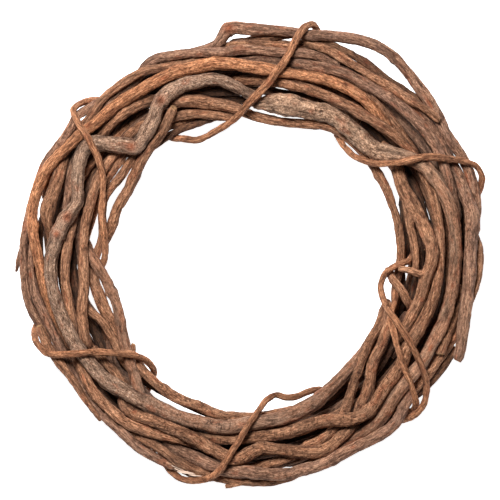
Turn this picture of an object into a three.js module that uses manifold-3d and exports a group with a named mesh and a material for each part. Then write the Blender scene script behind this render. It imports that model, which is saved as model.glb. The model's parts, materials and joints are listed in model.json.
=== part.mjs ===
// A bare wreath of woven willow vines, lying flat on its back.
// Millimetres, +Z up. Angles are degrees clockwise from the top of the wreath,
// as it is seen from the front, and distances are measured from the ring's centre.

import * as THREE from 'three';
import { mergeVertices } from 'three/addons/utils/BufferGeometryUtils.js';
import Module from 'manifold-3d';

const wasm = await Module();
wasm.setup();

// Driving dimensions
const MID_RADIUS = 121;        // circle through the middle of the ring of vines
const HALF_WIDTH = 34;         // half the ring's width, over the outermost vines
const HALF_DEPTH = 19;         // from the middle of the ring to the foremost vine's centre
const MID_HEIGHT = 21.2;       // height of the ring's middle above the table
const TOP_LEVEL = 10;          // level of the binding vine where it crosses the front
const EDGE_FLATNESS = 0.15;    // keeps the outermost vines from falling to one height
const GAP = 0.25;              // air between two vines that touch
const FLAT = 0.84;             // a resting vine's centre height, in radii, so it has a flat
const SIDES = 6;               // sides of a vine's section
const VINE_STEP = 9;           // spacing of the sections along a front vine
const BINDER_STEP = 7;         // the same along a binding vine, which bends more
const DEEP_STEP = 14;          // the same along a short deep vine
const BACK_STEP = 24;          // the same along a back vine
const CURVE_DIVISIONS = 600;   // fineness with which a route's length is measured
const FEWEST_STEPS = 3;        // a short vine still has this many steps
const CUT_BULGE = 0.18;        // how far a cut end stands out, in radii

// Bark colours
const BARK = {
  orange: 0xc48054,
  brown: 0xb07850,
  mauve: 0x8c6652,
  grey: 0x967662,
  speckled: 0x9b806c,
  dark: 0x6e4c38,
  binder: 0xb4764e,
};

// Draws that come out the same each time
let seed = 20571;
function draw() {
  seed = (seed * 1664525 + 1013904223) % 4294967296;
  return seed / 4294967296;
}
const drawBetween = (low, high) => low + (high - low) * draw();

// Where a point of the wreath lies
function heightAt(radius, level) {
  const across = (radius - MID_RADIUS) / HALF_WIDTH;
  const bow = Math.sqrt(Math.max(EDGE_FLATNESS, 1 - across * across));
  return MID_HEIGHT + (level / TOP_LEVEL) * HALF_DEPTH * bow;
}

function place([angle, radius, level]) {
  const turn = THREE.MathUtils.degToRad(angle);
  return new THREE.Vector3(radius * Math.sin(turn), radius * Math.cos(turn), heightAt(radius, level));
}

// Thickness at a place on a route: between the nearest points that state one,
// or the thicknesses of the two ends
function thicknessAt(route, ends, at) {
  const last = route.length - 1;
  const stated = route.map((point, k) => [k, point[3]]).filter(([, value]) => value);
  if (!route[0][3]) stated.unshift([0, ends[0]]);
  if (!route[last][3]) stated.push([last, ends[1]]);
  const next = Math.max(1, stated.findIndex(([k]) => k >= at));
  const [before, low] = stated[next - 1];
  const [after, high] = stated[next];
  return THREE.MathUtils.lerp(low, high, (at - before) / (after - before));
}

// Vines: the radius at each end, a route whose points may state a radius of
// their own after the level, and where a branch leaves its parent
const vines = [];

function vine(name, bark, ends, route, options = {}) {
  const step = options.step ?? VINE_STEP;
  const curve = new THREE.CatmullRomCurve3(route.map(place), false, 'centripetal');
  curve.arcLengthDivisions = CURVE_DIVISIONS;
  const count = Math.max(FEWEST_STEPS, Math.round(curve.getLength() / step));
  const points = curve.getSpacedPoints(count);
  const placeOnRoute = (i) => curve.getUtoTmapping(i / count) * (route.length - 1);
  const radii = points.map((_, i) => thicknessAt(route, ends, placeOnRoute(i)));
  const made = { name, bark, points, radii, home: points.map((p) => p.clone()), ...options };
  vines.push(made);
  return made;
}

// Front of the ring, upper right

vine('outer_loop_vine', 'mauve', [3.2, 3.4], [
  [335, 131.8, 0], [340, 132.3, 1], [346, 133, 2.5], [349.5, 134, 4], [351.4, 135, 6],
  [352.7, 138.4, 7, 3.4], [354, 142.6, 7, 3.9], [355.3, 145.3, 7, 4.2], [357.5, 145.1, 7, 4.1],
  [360, 144.3, 7, 4.0], [365, 144.1, 7, 3.5], [370, 145, 7], [375, 146.5, 6], [380, 149.2, 6],
  [385, 152.4, 6, 3.6], [390, 155.8, 6], [395, 156.7, 6], [400, 155, 6, 3.6], [405, 152.3, 5.5],
  [410, 150.6, 5], [413, 149.4, 5], [417, 147.2, 5], [420, 146.8, 6], [425, 147.5, 6],
  [430, 148.6, 6], [434, 149.1, 5], [437, 148.4, 4], [440, 146.5, 3], [445, 143, 2],
], { step: 6.5 });

vine('elbow_vine', 'mauve', [2.4, 3.0], [
  [283, 118, 3], [286, 119.3, 5], [290, 121, 5], [293, 123.3, 5], [296, 125.8, 5],
  [300, 128, 4], [305, 130, 4], [312, 132.5, 4], [320, 133, 4], [328, 133.5, 4],
  [331, 135.9, 5, 3.3], [333.5, 138.4, 6, 3.6], [337, 136, 6, 3.2], [340, 134, 6],
  [345, 132.3, 6, 3.0], [350, 131.3, 6], [360, 130.8, 6], [370, 130.5, 6], [375, 132, 6],
  [380, 133, 5], [385, 134, 3],
]);

vine('narrow_band_vine', 'brown', [2.7, 2.9], [
  [345, 131.5, 1], [350, 133, 2.5], [355, 134.6, 5], [360, 134.6, 5], [365, 134.6, 5],
  [370, 135.5, 5], [375, 134.8, 5], [385, 133, 3],
]);

vine('orange_cut_vine', 'brown', [2.5, 2.8], [
  [363, 135.5, 0.5], [367, 136.5, 2], [371, 138.2, 4], [375, 140.5, 5],
  [380, 140.5, 5], [385, 138.6, 6], [390, 137.6, 6], [395, 138, 6], [400, 139.3, 6],
  [404, 141, 7], [408, 143.8, 8], [411, 146.4, 8.5], [414.3, 148.4, 9],
]);

vine('deep_outer_vine', 'brown', [2.5, 2.6], [
  [355, 136.2, 0], [361, 137.2, 2], [365, 138.5, 4], [369, 140.5, 4], [372, 142.5, 4],
  [375, 144.3, 4], [380, 144.3, 5], [390, 143.6, 5], [400, 142.8, 5], [405, 145.5, 4],
  [410, 148, 3], [413, 149.5, 2],
]);

vine('upper_band_vine', 'mauve', [3.6, 3.6], [
  [355, 124.5, 3], [360, 124.3, 5], [365, 124.2, 6], [370, 125, 6], [375, 127.5, 6],
  [380, 129, 6], [385, 131, 6], [390, 131.8, 6], [395, 132.2, 6], [400, 134, 6],
  [405, 135.7, 6], [410, 136.7, 6], [415, 137.7, 6], [420, 138, 6], [425, 137, 6],
  [430, 136, 6], [435, 135.2, 5], [440, 134, 4],
]);

vine('orange_vine', 'orange', [2.4, 3.4], [
  [243, 127.5, 0], [250, 129.2, 1.5, 2.4], [256, 130.4, 3.5, 2.6], [262, 131.5, 6.5, 3.3],
  [265, 132, 7], [270, 134, 8], [275, 136.7, 9], [280, 139.7, 8], [285, 140.9, 8],
  [290, 140.5, 8, 3.5], [295, 138.3, 9], [300, 134.6, 9], [305, 132, 9], [310, 129.2, 9],
  [315, 127.9, 9], [320, 126.9, 8, 3.7], [325, 126.1, 8], [330, 125.4, 8], [335, 125.2, 8],
  [340, 124.8, 8], [345, 124.5, 8, 3.9], [350, 124, 8], [355, 122.3, 8], [360, 120.2, 8, 4.1],
  [365, 119.4, 8, 3.9], [372, 118.8, 8, 3.6], [380, 121, 8], [385, 122.3, 8], [390, 123.1, 8],
  [395, 123.4, 8], [400, 122, 7], [404, 121, 6], [408, 120.5, 5],
]);

vine('under_orange_vine', 'brown', [3.1, 2.6], [
  [286, 134.8, 0], [292, 136, 1], [298, 137, 2], [305, 136.5, 4], [310, 135.9, 5],
  [315, 136.4, 6], [320, 136.4, 6], [325, 135.8, 6], [330, 135, 6], [335, 133, 6],
  [340, 131, 6], [345, 129.6, 5], [350, 128.3, 5], [355, 127.3, 5], [365, 126.8, 4],
  [380, 127.5, 3], [395, 126.4, 4], [403, 125.5, 3], [410, 124.7, 1.5], [418, 124.5, 0],
]);

vine('flaky_vine', 'grey', [3.0, 3.9], [
  [361.5, 97.6, 7.5], [365, 97.9, 8, 4.8], [368, 98.4, 8, 5.8], [371, 98.7, 8, 6.6],
  [377, 99.2, 8, 6.8], [380, 99.6, 8, 6.2], [385, 101.3, 8, 5.7], [390, 103.7, 8, 5.6],
  [395, 102.8, 8.5], [400, 102.6, 8.5, 5.8], [405, 102.3, 9, 5.9], [410, 103.3, 9, 5.7],
  [412.5, 106, 9], [415, 111, 9, 5.1], [418, 117, 9, 4.6], [420.5, 122, 9], [423, 125, 9],
  [426, 127, 9], [430, 129.5, 9, 4.2], [435, 130.8, 9], [440, 131.5, 9], [450, 131, 8.5],
  [460, 130.9, 8], [470, 130.3, 8, 4.1], [480, 129.2, 8], [490, 128.6, 8], [495, 129.3, 8],
  [500, 132.3, 7.5, 4.0], [505, 134, 7], [510, 134.6, 6], [515, 136, 5], [520, 137, 3],
], { step: 8 });

// Front of the ring, right side and lower right

vine('right_edge_vine', 'mauve', [3.6, 4.0], [
  [490, 134, 4], [493, 136.5, 6], [495, 138.6, 7], [498, 140.2, 8], [500, 141, 9],
  [505, 139.8, 9], [510, 138.6, 9], [515, 138.4, 9], [520, 139.7, 9], [525, 139.5, 9],
  [530, 140.5, 9], [535, 138.6, 9], [540, 136.5, 9], [545, 136.4, 8], [550, 134.7, 8],
  [555, 132.7, 7], [560, 130.9, 6], [565, 129, 5], [570, 126.5, 3],
]);

vine('knotted_vine', 'mauve', [3.4, 3.5], [
  [406, 139.5, 2.5], [411, 140.8, 3.5], [416, 142, 4.5], [420, 142.4, 5], [425, 142.8, 5.5],
  [430, 142.7, 6], [435, 142.8, 7], [440, 144.1, 8, 4.3], [445, 141.5, 8], [450, 140.5, 8],
  [455, 140.5, 8], [460, 140.9, 8], [465, 141.9, 8], [470, 144.2, 8], [473, 146.2, 8], [476.5, 148, 8],
]);

vine('short_edge_vine', 'brown', [2.9, 3.2], [
  [440, 142, 3], [445, 144.3, 5], [450, 146.6, 6], [455, 145.8, 6], [460, 143.6, 5],
  [465, 141, 4], [470, 139.8, 5], [476, 138.5, 5], [480, 137, 6], [483, 137, 6],
  [487, 136, 5], [495, 135, 3],
]);

const forkedRight = vine('forked_right_vine', 'brown', [3.8, 3.4], [
  [410, 110, 3], [415, 109.7, 4], [419.5, 109.3, 5, 4.1], [425, 107, 6, 4.2], [429, 107.3, 6, 4.7],
  [432, 108.6, 6, 5.3], [437.6, 110.4, 6, 4.7], [443.5, 114.2, 7, 4.4], [449, 116.6, 7.5, 4.0],
  [455, 114.9, 7.5], [459.6, 113.4, 7, 3.9], [463.2, 112.9, 6], [470, 110.1, 6],
  [473.3, 109.6, 5], [480, 107.5, 3],
], { step: 8 });

vine('forked_right_branch', 'brown', [2.8, 2.4], [
  [432, 107.5, 6], [436.2, 104.2, 6.3], [440, 104, 6.3], [444, 104.8, 6], [448, 105.4, 5.5],
  [452, 106, 5], [456, 106.5, 4],
], { parent: forkedRight, step: 7 });

vine('inner_top_vine', 'brown', [3.3, 2.6], [
  [305, 122, 3], [313, 121.5, 5], [317, 121.2, 6], [320, 120.7, 6], [325, 118.8, 5],
  [328, 116.5, 4], [331, 112.5, 4], [335, 108.2, 5], [338, 106.4, 6], [340, 104.8, 6],
  [343, 102.4, 6, 4.3], [347, 99.3, 6], [352, 95.7, 6, 3.8], [356, 92.7, 6], [360, 89.9, 6, 3.1],
  [365, 88.3, 6], [370, 87.5, 6, 3.0], [375, 88.1, 6], [380, 89.7, 6], [385, 92.5, 6],
  [390, 95.9, 6], [395, 97.5, 5.5], [405, 98, 5], [415, 97.5, 6], [425, 97, 6], [435, 96.8, 6],
  [445, 96.4, 6], [450, 96.3, 5.5, 2.7], [455, 95.4, 5], [460, 94, 4.5], [464, 94.8, 4],
  [468, 96.2, 2.5], [472, 98, 0.5],
]);

vine('brown_cross_vine', 'brown', [3.1, 2.7], [
  [355, 111, 3], [360, 111.8, 4.5], [370, 112.2, 6, 3.5], [380, 112.5, 6, 3.3], [385, 113, 6],
  [390, 113.4, 6], [395, 114.6, 7, 3.4], [400, 115.7, 7], [405, 117.6, 7.5], [410, 119.9, 7],
  [415, 121.7, 6], [420, 123.3, 5, 3.3], [425, 123, 5], [430, 123, 5], [440, 122.4, 5, 3.1],
  [448, 121.4, 5], [455, 120.6, 5.5, 3.1], [460, 119.4, 6.5, 3.4], [465, 119, 8], [470, 117.9, 8],
  [475, 117, 8, 4.2], [480, 116.2, 8], [483, 117.2, 8], [486, 119.3, 8], [490, 120.2, 8, 4.3],
  [495, 121, 8], [500, 123.5, 8], [505, 124, 8.5, 4.4], [508, 122, 9], [510, 120, 9],
  [513, 117.5, 9, 4.4], [515, 115.3, 8], [518, 113.9, 8], [525, 114.5, 7, 4.1], [530, 115, 7],
  [540, 115.5, 6, 3.8], [550, 117, 6], [556, 116.5, 5], [565, 115, 4, 3.2], [575, 114.3, 3],
  [580, 113.5, 3], [585, 113.9, 4], [590, 113.2, 4], [596, 114.4, 3.5], [600, 116.6, 2.5],
  [604, 118.8, 1], [608, 120.5, 0],
], { step: 8 });

vine('right_twig', 'orange', [2.2, 2.0], [
  [456.5, 115, 6.3], [456.2, 111, 7.8], [455.8, 105, 8.7], [455, 100, 8.6], [454.8, 95.8, 8.4],
], { parent: forkedRight, step: 6 });

vine('tucked_vine', 'dark', [2.6, 2.6], [
  [474, 143, 2], [478, 142.3, 4], [483, 140.6, 4], [486, 139.6, 4], [490, 138.5, 2],
]);

vine('short_cut_vine', 'brown', [3.3, 3.4], [
  [458, 135.5, 3], [465, 135, 5], [470, 134.6, 6], [474, 134.7, 7], [477, 136, 7.5],
]);

vine('lower_right_vine', 'brown', [3.3, 3.6], [
  [468, 96.4, 1], [470.5, 96.8, 2.5], [475, 98.7, 5], [480, 99.7, 6], [485, 101.8, 6],
  [490, 103.3, 6, 3.6], [493, 106.4, 6], [495, 109.2, 6], [498, 113.5, 6], [500, 115.8, 5.5],
  [503, 118.8, 5], [506, 123, 6], [509, 127, 7], [512, 128.2, 7], [515, 130, 7], [517, 131.5, 7.5],
  [520, 132.3, 8], [523, 130.3, 8], [525, 128.5, 8], [528, 126.7, 8], [530, 125.2, 8],
  [533, 123.5, 8], [536, 122.2, 8, 3.8], [539, 124.2, 8], [541, 126.7, 8, 4.3], [544, 129.6, 8],
  [546, 129.5, 8, 4.0], [548, 127.2, 8], [552, 124.2, 8], [555, 121.5, 8], [558, 120.4, 8, 3.6],
  [565, 119.4, 8], [570, 119.6, 8], [573, 120.8, 7], [575, 122, 7], [578, 123.2, 6],
  [580, 122, 5], [582, 120, 3],
], { step: 7.5 });

vine('lower_inner_vine', 'brown', [3.2, 3.1], [
  [468, 94.6, 1], [471, 94.3, 2.5], [475, 94.7, 5], [480, 94.3, 6], [485, 94, 6], [490, 95.6, 6],
  [493, 97.6, 6], [496, 100.5, 6], [500, 104.2, 6], [503, 108, 5.5], [505, 111, 5], [507, 114, 5],
  [511, 119.5, 5.5], [514, 123.5, 6], [517, 125, 6], [520, 126.2, 6], [523, 126.8, 5.5],
  [526, 128.5, 5.5], [529, 130.8, 5.5], [532, 132.3, 5], [536, 133.8, 3], [541, 135.3, 1],
  [546, 136.5, -1],
], { step: 8 });

// Front of the ring, left side

const speckled = vine('forked_speckled_vine', 'speckled', [3.1, 3.5], [
  [116, 96, 1], [123, 95.3, 2.5], [130, 95.3, 4, 3.5], [135, 95.8, 5], [140, 96.5, 6],
  [145, 98, 7, 4.0], [150, 99.5, 7], [155, 101.6, 7, 4.6], [160, 102.8, 7], [165, 104, 7, 4.8],
  [170, 105.2, 7], [175, 105.6, 7, 4.6], [180, 106.5, 7], [185, 109, 7], [190, 110.5, 7],
  [195, 110.3, 8], [200, 111.4, 8], [205, 112.7, 8, 4.6], [210, 114.3, 8, 5.3],
  [215, 115.1, 8, 5.8], [220, 116, 8, 5.0], [225, 118.2, 8], [230, 120.8, 8, 4.5],
  [235, 121.5, 8], [241, 122.9, 8], [245, 123.5, 8], [250, 124.3, 8], [255, 125.4, 8, 4.2],
  [260, 126, 8], [265, 126.4, 8], [270, 125.2, 8], [275, 123, 8, 4.4], [278, 121.1, 8],
  [280, 119.8, 8], [282, 117.6, 8], [285, 115.6, 8, 4.4], [288, 114.2, 8], [290, 115.3, 8],
  [292, 117, 8], [295, 119.8, 8, 4.4], [297, 121.5, 8], [300, 123.8, 7.5], [303, 124.7, 7.5],
  [305, 123.5, 8, 4.6], [306.5, 120.5, 8], [308.3, 115, 8, 5.0], [310, 109.8, 8],
  [311.5, 106, 8], [312.8, 102, 8], [314.3, 99.9, 8], [316, 99.6, 8], [318, 100.4, 8],
  [320, 101.6, 8, 5.0], [322.5, 103.6, 8], [325.5, 106.6, 8], [328, 110.4, 8],
  [330.5, 113.4, 8, 4.9], [335, 115.5, 8], [338, 116.5, 8], [340, 116.4, 8], [343, 115.4, 8],
  [346, 115, 8, 4.3], [350, 113.4, 8], [352, 112, 8], [355, 108.5, 7], [357, 106.5, 6, 3.6],
  [359, 103.8, 6], [361, 101.5, 5], [364, 99.5, 3.5],
], { step: 7.5 });

vine('speckled_branch', 'speckled', [3.5, 3.2], [
  [216, 115.3, 8], [219, 111.5, 8], [222, 108, 8], [225, 104.8, 7], [228, 101.8, 7],
  [231, 99, 7], [235, 96.7, 7], [240, 93.6, 7], [245, 91.4, 7], [250, 89.6, 7], [255, 90, 7],
  [260, 91.7, 6.5], [264, 94.5, 6.5], [268, 98.3, 6], [271, 101.8, 4], [275, 104.5, 2],
], { parent: speckled });

vine('lower_left_vine', 'brown', [3.4, 2.9], [
  [191, 124, 0], [197, 124.4, 2.5], [203, 125.8, 5], [207, 127, 6], [210, 127.9, 7],
  [215, 129.7, 7, 3.5], [220, 130.7, 7], [225, 131, 7], [230, 130.7, 7], [233, 129.6, 6],
  [235, 129, 5], [237, 128, 4.5], [240, 126, 4], [243, 123, 3.5], [246, 120.8, 4],
  [250, 119.5, 4.5], [255, 118.8, 5], [260, 117.7, 5.5], [265, 117.2, 6], [270, 116.1, 6],
  [275, 115.4, 6], [280, 114.5, 5], [285, 115.2, 4], [289, 117.2, 3], [293, 118.6, 2],
  [297, 118, 1], [302, 115.8, 0], [306, 114.5, 0], [325, 114, 0],
]);

const lowerEdge = vine('lower_edge_vine', 'brown', [3.0, 3.0], [
  [162, 138, 2], [166, 140.5, 4], [170, 142.7, 6], [175, 143.6, 6], [180, 142.9, 6], [185, 142, 6],
  [190, 140.8, 6], [195, 139.4, 6], [200, 138, 6], [205, 135.8, 6], [210, 135, 5],
  [215, 134.5, 3],
]);

vine('lower_edge_twig', 'brown', [1.8, 1.6], [
  [180.4, 142.9, 6], [182, 144.4, 6.3], [183.8, 145.8, 6.5], [185.6, 147.1, 6.5],
], { parent: lowerEdge, step: 4 });

vine('left_outer_vine', 'mauve', [3.0, 2.8], [
  [189, 143.4, 1.5], [193, 143.5, 3], [197, 143, 4], [200, 142.3, 5], [205, 140.4, 6, 3.2],
  [210, 139.4, 6], [215, 137.6, 6], [220, 137.3, 5], [225, 136.8, 5], [230, 135.5, 5],
  [235, 134.5, 6], [245, 134.6, 6], [250, 135.5, 6], [255, 137.4, 6], [260, 138.8, 6],
  [265, 139.4, 5], [270, 140.3, 4], [275, 141, 3],
]);

vine('pointed_vine', 'brown', [1.2, 2.8], [
  [222.3, 140.8, 7], [225, 139.4, 7], [230, 137.6, 7, 2.2], [233, 136.8, 7], [237, 137, 7.5, 2.4],
  [240, 138, 7.5, 2.9], [244, 139.4, 7, 3.3], [248, 140.2, 6.5, 3.2], [251.5, 140.2, 6],
]);

const leftEdge = vine('left_edge_vine', 'mauve', [2.6, 2.6], [
  [249, 137.5, 2], [252, 140.3, 4], [255, 141.9, 6], [260, 142.7, 6], [265, 143.3, 6],
  [270, 143.6, 6], [275, 142.9, 6], [280, 142.3, 5], [285, 142, 5], [290, 141.9, 5],
  [295, 142.3, 6], [297, 141.2, 6], [300, 139, 6], [305, 137.3, 6], [310, 137.5, 5],
  [316, 136.8, 3],
]);

vine('left_twig', 'mauve', [1.7, 1.4], [
  [272.4, 143, 6], [269.6, 145.4, 6.8], [266.4, 148, 7],
], { parent: leftEdge, step: 4 });

vine('left_brown_vine', 'brown', [3.5, 2.8], [
  [241, 117.5, 5], [245, 115.8, 8], [250, 112.8, 8], [255, 109.4, 8], [260, 106.4, 8],
  [265, 105.1, 8], [270, 104.5, 8], [275, 105, 8], [280, 105.5, 8], [285, 105.6, 8],
  [290, 106.2, 7], [295, 107.3, 7], [300, 107.8, 6.5], [305, 107.6, 6], [310, 107.3, 5],
  [315, 108.2, 5], [320, 107.5, 5], [325, 104, 5], [328, 101.5, 6], [332, 100, 6],
  [335, 98.9, 6], [340, 96.2, 6], [345, 93, 6], [350, 91, 5], [355, 90, 3],
]);

vine('dark_short_vine', 'brown', [2.6, 2.8], [
  [222, 104.6, 1], [230, 103, 2], [236.6, 100.8, 4], [240.5, 100.7, 4.5], [244.5, 101.2, 5],
  [248, 104.2, 5], [251.4, 107.9, 4], [254, 110, 2],
]);

const innerLong = vine('inner_long_vine', 'brown', [3.4, 2.5], [
  [163, 102.8, 2], [175, 102.4, 4], [185, 103, 5], [192, 102.8, 5, 3.2], [196, 100.8, 6, 3.6],
  [200, 101, 6, 3.3], [205, 101.3, 6], [210, 100.8, 6], [215, 100, 6], [220, 99, 6],
  [225, 98.3, 5.5], [230, 98, 5], [236, 98, 5], [240, 97.4, 5.5, 3.1], [245, 97.1, 6, 3.4],
  [250, 98, 6, 3.8], [255, 98.7, 6, 3.8], [260, 99.9, 6, 3.4], [265, 100.5, 5], [268, 98.5, 5],
  [272, 96.2, 5], [276, 94.2, 6, 2.7], [280, 94.2, 6, 2.7], [285, 96.8, 6], [290, 99.2, 6], [295, 98.2, 6],
  [300, 96.3, 6], [305, 95.3, 6], [310, 96, 6], [320, 96.9, 5.5], [328, 96.2, 5.5],
  [335, 94.9, 5], [340, 93.5, 5], [345, 91.5, 3],
]);

vine('inner_long_twig', 'brown', [2.0, 1.7], [
  [231.3, 98, 5], [231.8, 95.2, 5.6], [232.4, 92.8, 5.8],
], { parent: innerLong, step: 4 });

vine('inner_cut_vine', 'brown', [3.2, 2.8], [
  [272, 95.5, 1], [276, 92.5, 3], [280, 90, 5], [285, 89, 6], [290, 89.2, 6], [295, 88.2, 6],
  [300, 87.9, 6, 3.4], [305, 89, 6, 3.5], [310, 91.4, 6.5, 3.4], [315, 92.7, 7], [320, 93.9, 7],
  [325, 96, 7], [328, 99, 8], [331, 102.5, 8], [333, 105.3, 8.5],
]);

vine('blunt_corner_vine', 'brown', [2.2, 3.2], [
  [270, 124.8, 1], [274, 126, 3, 2.4], [278, 128.2, 6, 2.6], [280, 129.8, 7, 3.6],
  [282.5, 131.2, 7, 4.9], [286, 131, 7, 4.2], [290, 130.6, 7, 4.0], [294, 131.6, 6],
  [298, 133, 4, 3.4], [302, 134, 2],
], { step: 6 });

vine('dark_left_vine', 'dark', [2.3, 2.3], [
  [314, 93.5, 1], [320, 92.3, 3], [325, 92.2, 3.5], [330, 92, 4], [335, 91, 4],
  [340, 91, 4], [345, 91.2, 3.5], [350, 90.9, 3], [354, 91, 1],
]);

vine('pale_short_vine', 'brown', [2.6, 2.6], [
  [272, 107.5, -2], [278, 104.8, -1], [283, 103.3, 0], [288, 102.3, 2], [293, 102.7, 3],
  [298, 102.6, 4], [302, 101.7, 4.5], [307, 101.4, 4.5], [313, 102.2, 2],
]);

vine('deep_upper_vine', 'dark', [2.6, 2.6], [
  [338, 112, 0], [343, 109.3, 2], [348, 106.2, 2], [353, 105.2, 2], [358, 105, 1],
  [366, 105.5, 0], [374, 106.3, 0], [382, 107.5, 0], [389, 109, 0],
]);

vine('right_tongue_vine', 'brown', [2.7, 2.6], [
  [108, 109, 2], [106.5, 106, 5], [104, 102.5, 7], [102, 99, 7], [100, 95.3, 7],
  [97.8, 91.8, 7], [95, 89.7, 6.5],
]);

// Short vines deep in the ring, which show dark between the front ones: level,
// radius, and the places they run through
const DEEP_VINES = [
  [-2, 2.9, [[40, 112], [48, 113.2], [56, 113.8], [64, 114], [72, 114], [80, 113.4], [88, 112.4]]],
  [-3, 2.8, [[62, 111], [68, 107], [73, 102.9], [77, 102.5], [82, 104], [86, 103],
    [90, 100], [95, 98.9], [100, 99.8], [106, 100.9], [118, 104], [126, 107]]],
  [-3, 3.1, [[88, 110], [92, 109.2], [98, 108.2], [104, 108.4], [112, 111], [120, 112],
    [128, 112], [136, 111.5], [144, 109.5]]],
  [-4, 2.8, [[120, 99.5], [127, 100.3], [134, 101.5], [142, 103.3], [150, 105], [158, 106.3]]],
  [-3, 3.2, [[148, 120], [156, 121], [165, 121], [174, 121.2], [182, 121.5], [190, 121], [198, 120]]],
  [-4, 3.0, [[132, 136.6], [140, 136.6], [150, 136.8], [160, 136.4], [168, 134.6], [175, 131.4],
    [184, 130], [190, 128], [196, 126.7], [204, 126.2], [222, 126], [230, 125.4], [236, 124]]],
  [-2, 2.9, [[226, 112.5], [232, 111.3], [238, 109.9], [244, 108.6], [250, 110],
    [262, 110.8], [274, 111], [284, 111], [291, 111.2]]],
  [-1, 2.7, [[318, 129.5], [326, 130.3], [334, 130.3], [342, 129.8], [350, 129.5], [358, 131.5],
    [366, 134], [374, 136.4], [380, 137.2], [390, 138.2], [400, 139.5], [410, 142.6], [418, 144],
    [424, 143.6]]],
  [-1, 2.8, [[316, 120], [324, 120.3], [334, 120.7], [345, 120.8], [356, 120], [366, 117]]],
  [-2, 2.7, [[322, 108], [330, 105.3], [336, 101.6], [341, 98.3], [347, 95.4], [353, 93.6],
    [358, 92.6]]],
  [0, 2.6, [[342, 104.5], [348, 102.4], [354, 101], [360, 98.6], [366, 96.6]]],
  [-1, 2.9, [[66, 138], [76, 138], [84, 137.4], [92, 136.7], [100, 136.2]]],
  [-1, 2.8, [[92, 123], [98, 123.3], [104, 123], [112, 122.3], [120, 122], [128, 122.5]]],
  [-2, 2.8, [[248, 139.5], [254, 139], [260, 137.4], [266, 136], [272, 135.6], [278, 136]]],
  [-3, 2.8, [[16, 118.5], [24, 119], [32, 119.5], [42, 121], [50, 122.5]]],
  [-4, 2.3, [[186, 105.5], [194, 104], [202, 102.9], [210, 102.8], [217, 103.8], [223, 105.2],
    [229, 105.8], [236, 106]]],
];
DEEP_VINES.forEach(([level, thickness, places], i) => {
  const route = places.map(([angle, radius]) => [angle, radius, level]);
  vine(`deep_vine_${i + 1}`, 'dark', [thickness, thickness], route, { step: DEEP_STEP });
});

// The two binding vines, which wind round the ring from the outer edge over
// the front to the inner edge, and back behind it to the outer edge

vine('binder_right', 'binder', [2.15, 2.1], [
  [144, 126, -10], [142, 134, -9], [139.8, 139, -6], [137.6, 141.4, -2], [135.6, 143.5, 3],
  [133.5, 144.3, 7], [131.6, 144.3, 9], [129.5, 143.5, 9.5], [128, 142, 9.5], [126, 139, 10],
  [124, 134.4, 10], [122, 127.5, 10], [120, 121.5, 10], [118, 115, 10], [116, 108.5, 10],
  [114, 103, 10], [112.5, 98, 9.5], [110.5, 93.7, 9], [108.5, 90.7, 8], [106, 88, 8],
  [103, 86.2, 8], [100, 86, 8], [97.5, 87.8, 8], [95.5, 90.7, 8.5], [93.8, 94.6, 8.5],
  [92.8, 98.4, 8], [92.2, 100.4, 6], [91.4, 101.6, 1], [90, 102.8, -4], [88, 107, -8.5],
  [84.5, 117, -10], [81, 128, -10], [78.5, 138, -9], [76.7, 145, -6], [75.3, 149.5, -2],
  [74.2, 152.2, 2], [72.6, 154.6, 6], [70.6, 156.3, 8.5], [68.8, 155.6, 9.5], [67, 151.5, 10],
  [65, 145, 10], [63, 137.5, 10], [61, 129.5, 10.5], [59.5, 121, 10.5], [58, 113, 10],
  [56, 106, 10], [53.5, 100, 9.5], [51, 96.8, 9], [48.5, 93.4, 8], [45, 91.9, 8],
  [41, 92.4, 8], [38.5, 93.8, 5], [36.6, 95.4, 0], [35, 97.5, -5], [32, 103, -9],
  [29, 110, -10], [25, 121, -10, 2.15], [22, 132, -10], [20, 140.6, -8], [18.2, 145.8, -4],
  [17.4, 147.8, 0], [16.4, 149.8, 5, 2.35], [15, 150.6, 8], [13.8, 147.6, 9.5], [12.7, 142, 10],
  [12, 137, 10], [11.2, 131, 10], [10.5, 125.5, 10.5], [9.5, 121, 10.5], [8, 116.5, 10.5, 2.6],
  [6.7, 111, 10], [5, 106.5, 10], [3, 102, 10], [1, 98.3, 10], [-1.5, 94, 10, 2.4],
  [-4, 90, 10], [-6, 87.8, 9], [-8, 86, 9], [-10, 84.6, 9], [-13, 83, 8, 2.3],
  [-17, 81.6, 8], [-20, 80.6, 8], [-23, 80.4, 8], [-25.5, 81.8, 8],
  [-28, 84.4, 7], [-30, 86.6, 5], [-31.7, 88.4, 1, 2.1], [-33, 90, -4],
  [-34.5, 96, -8], [-37, 107, -10], [-40, 119, -10], [-43, 131, -9.5],
], { step: BINDER_STEP });

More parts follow.
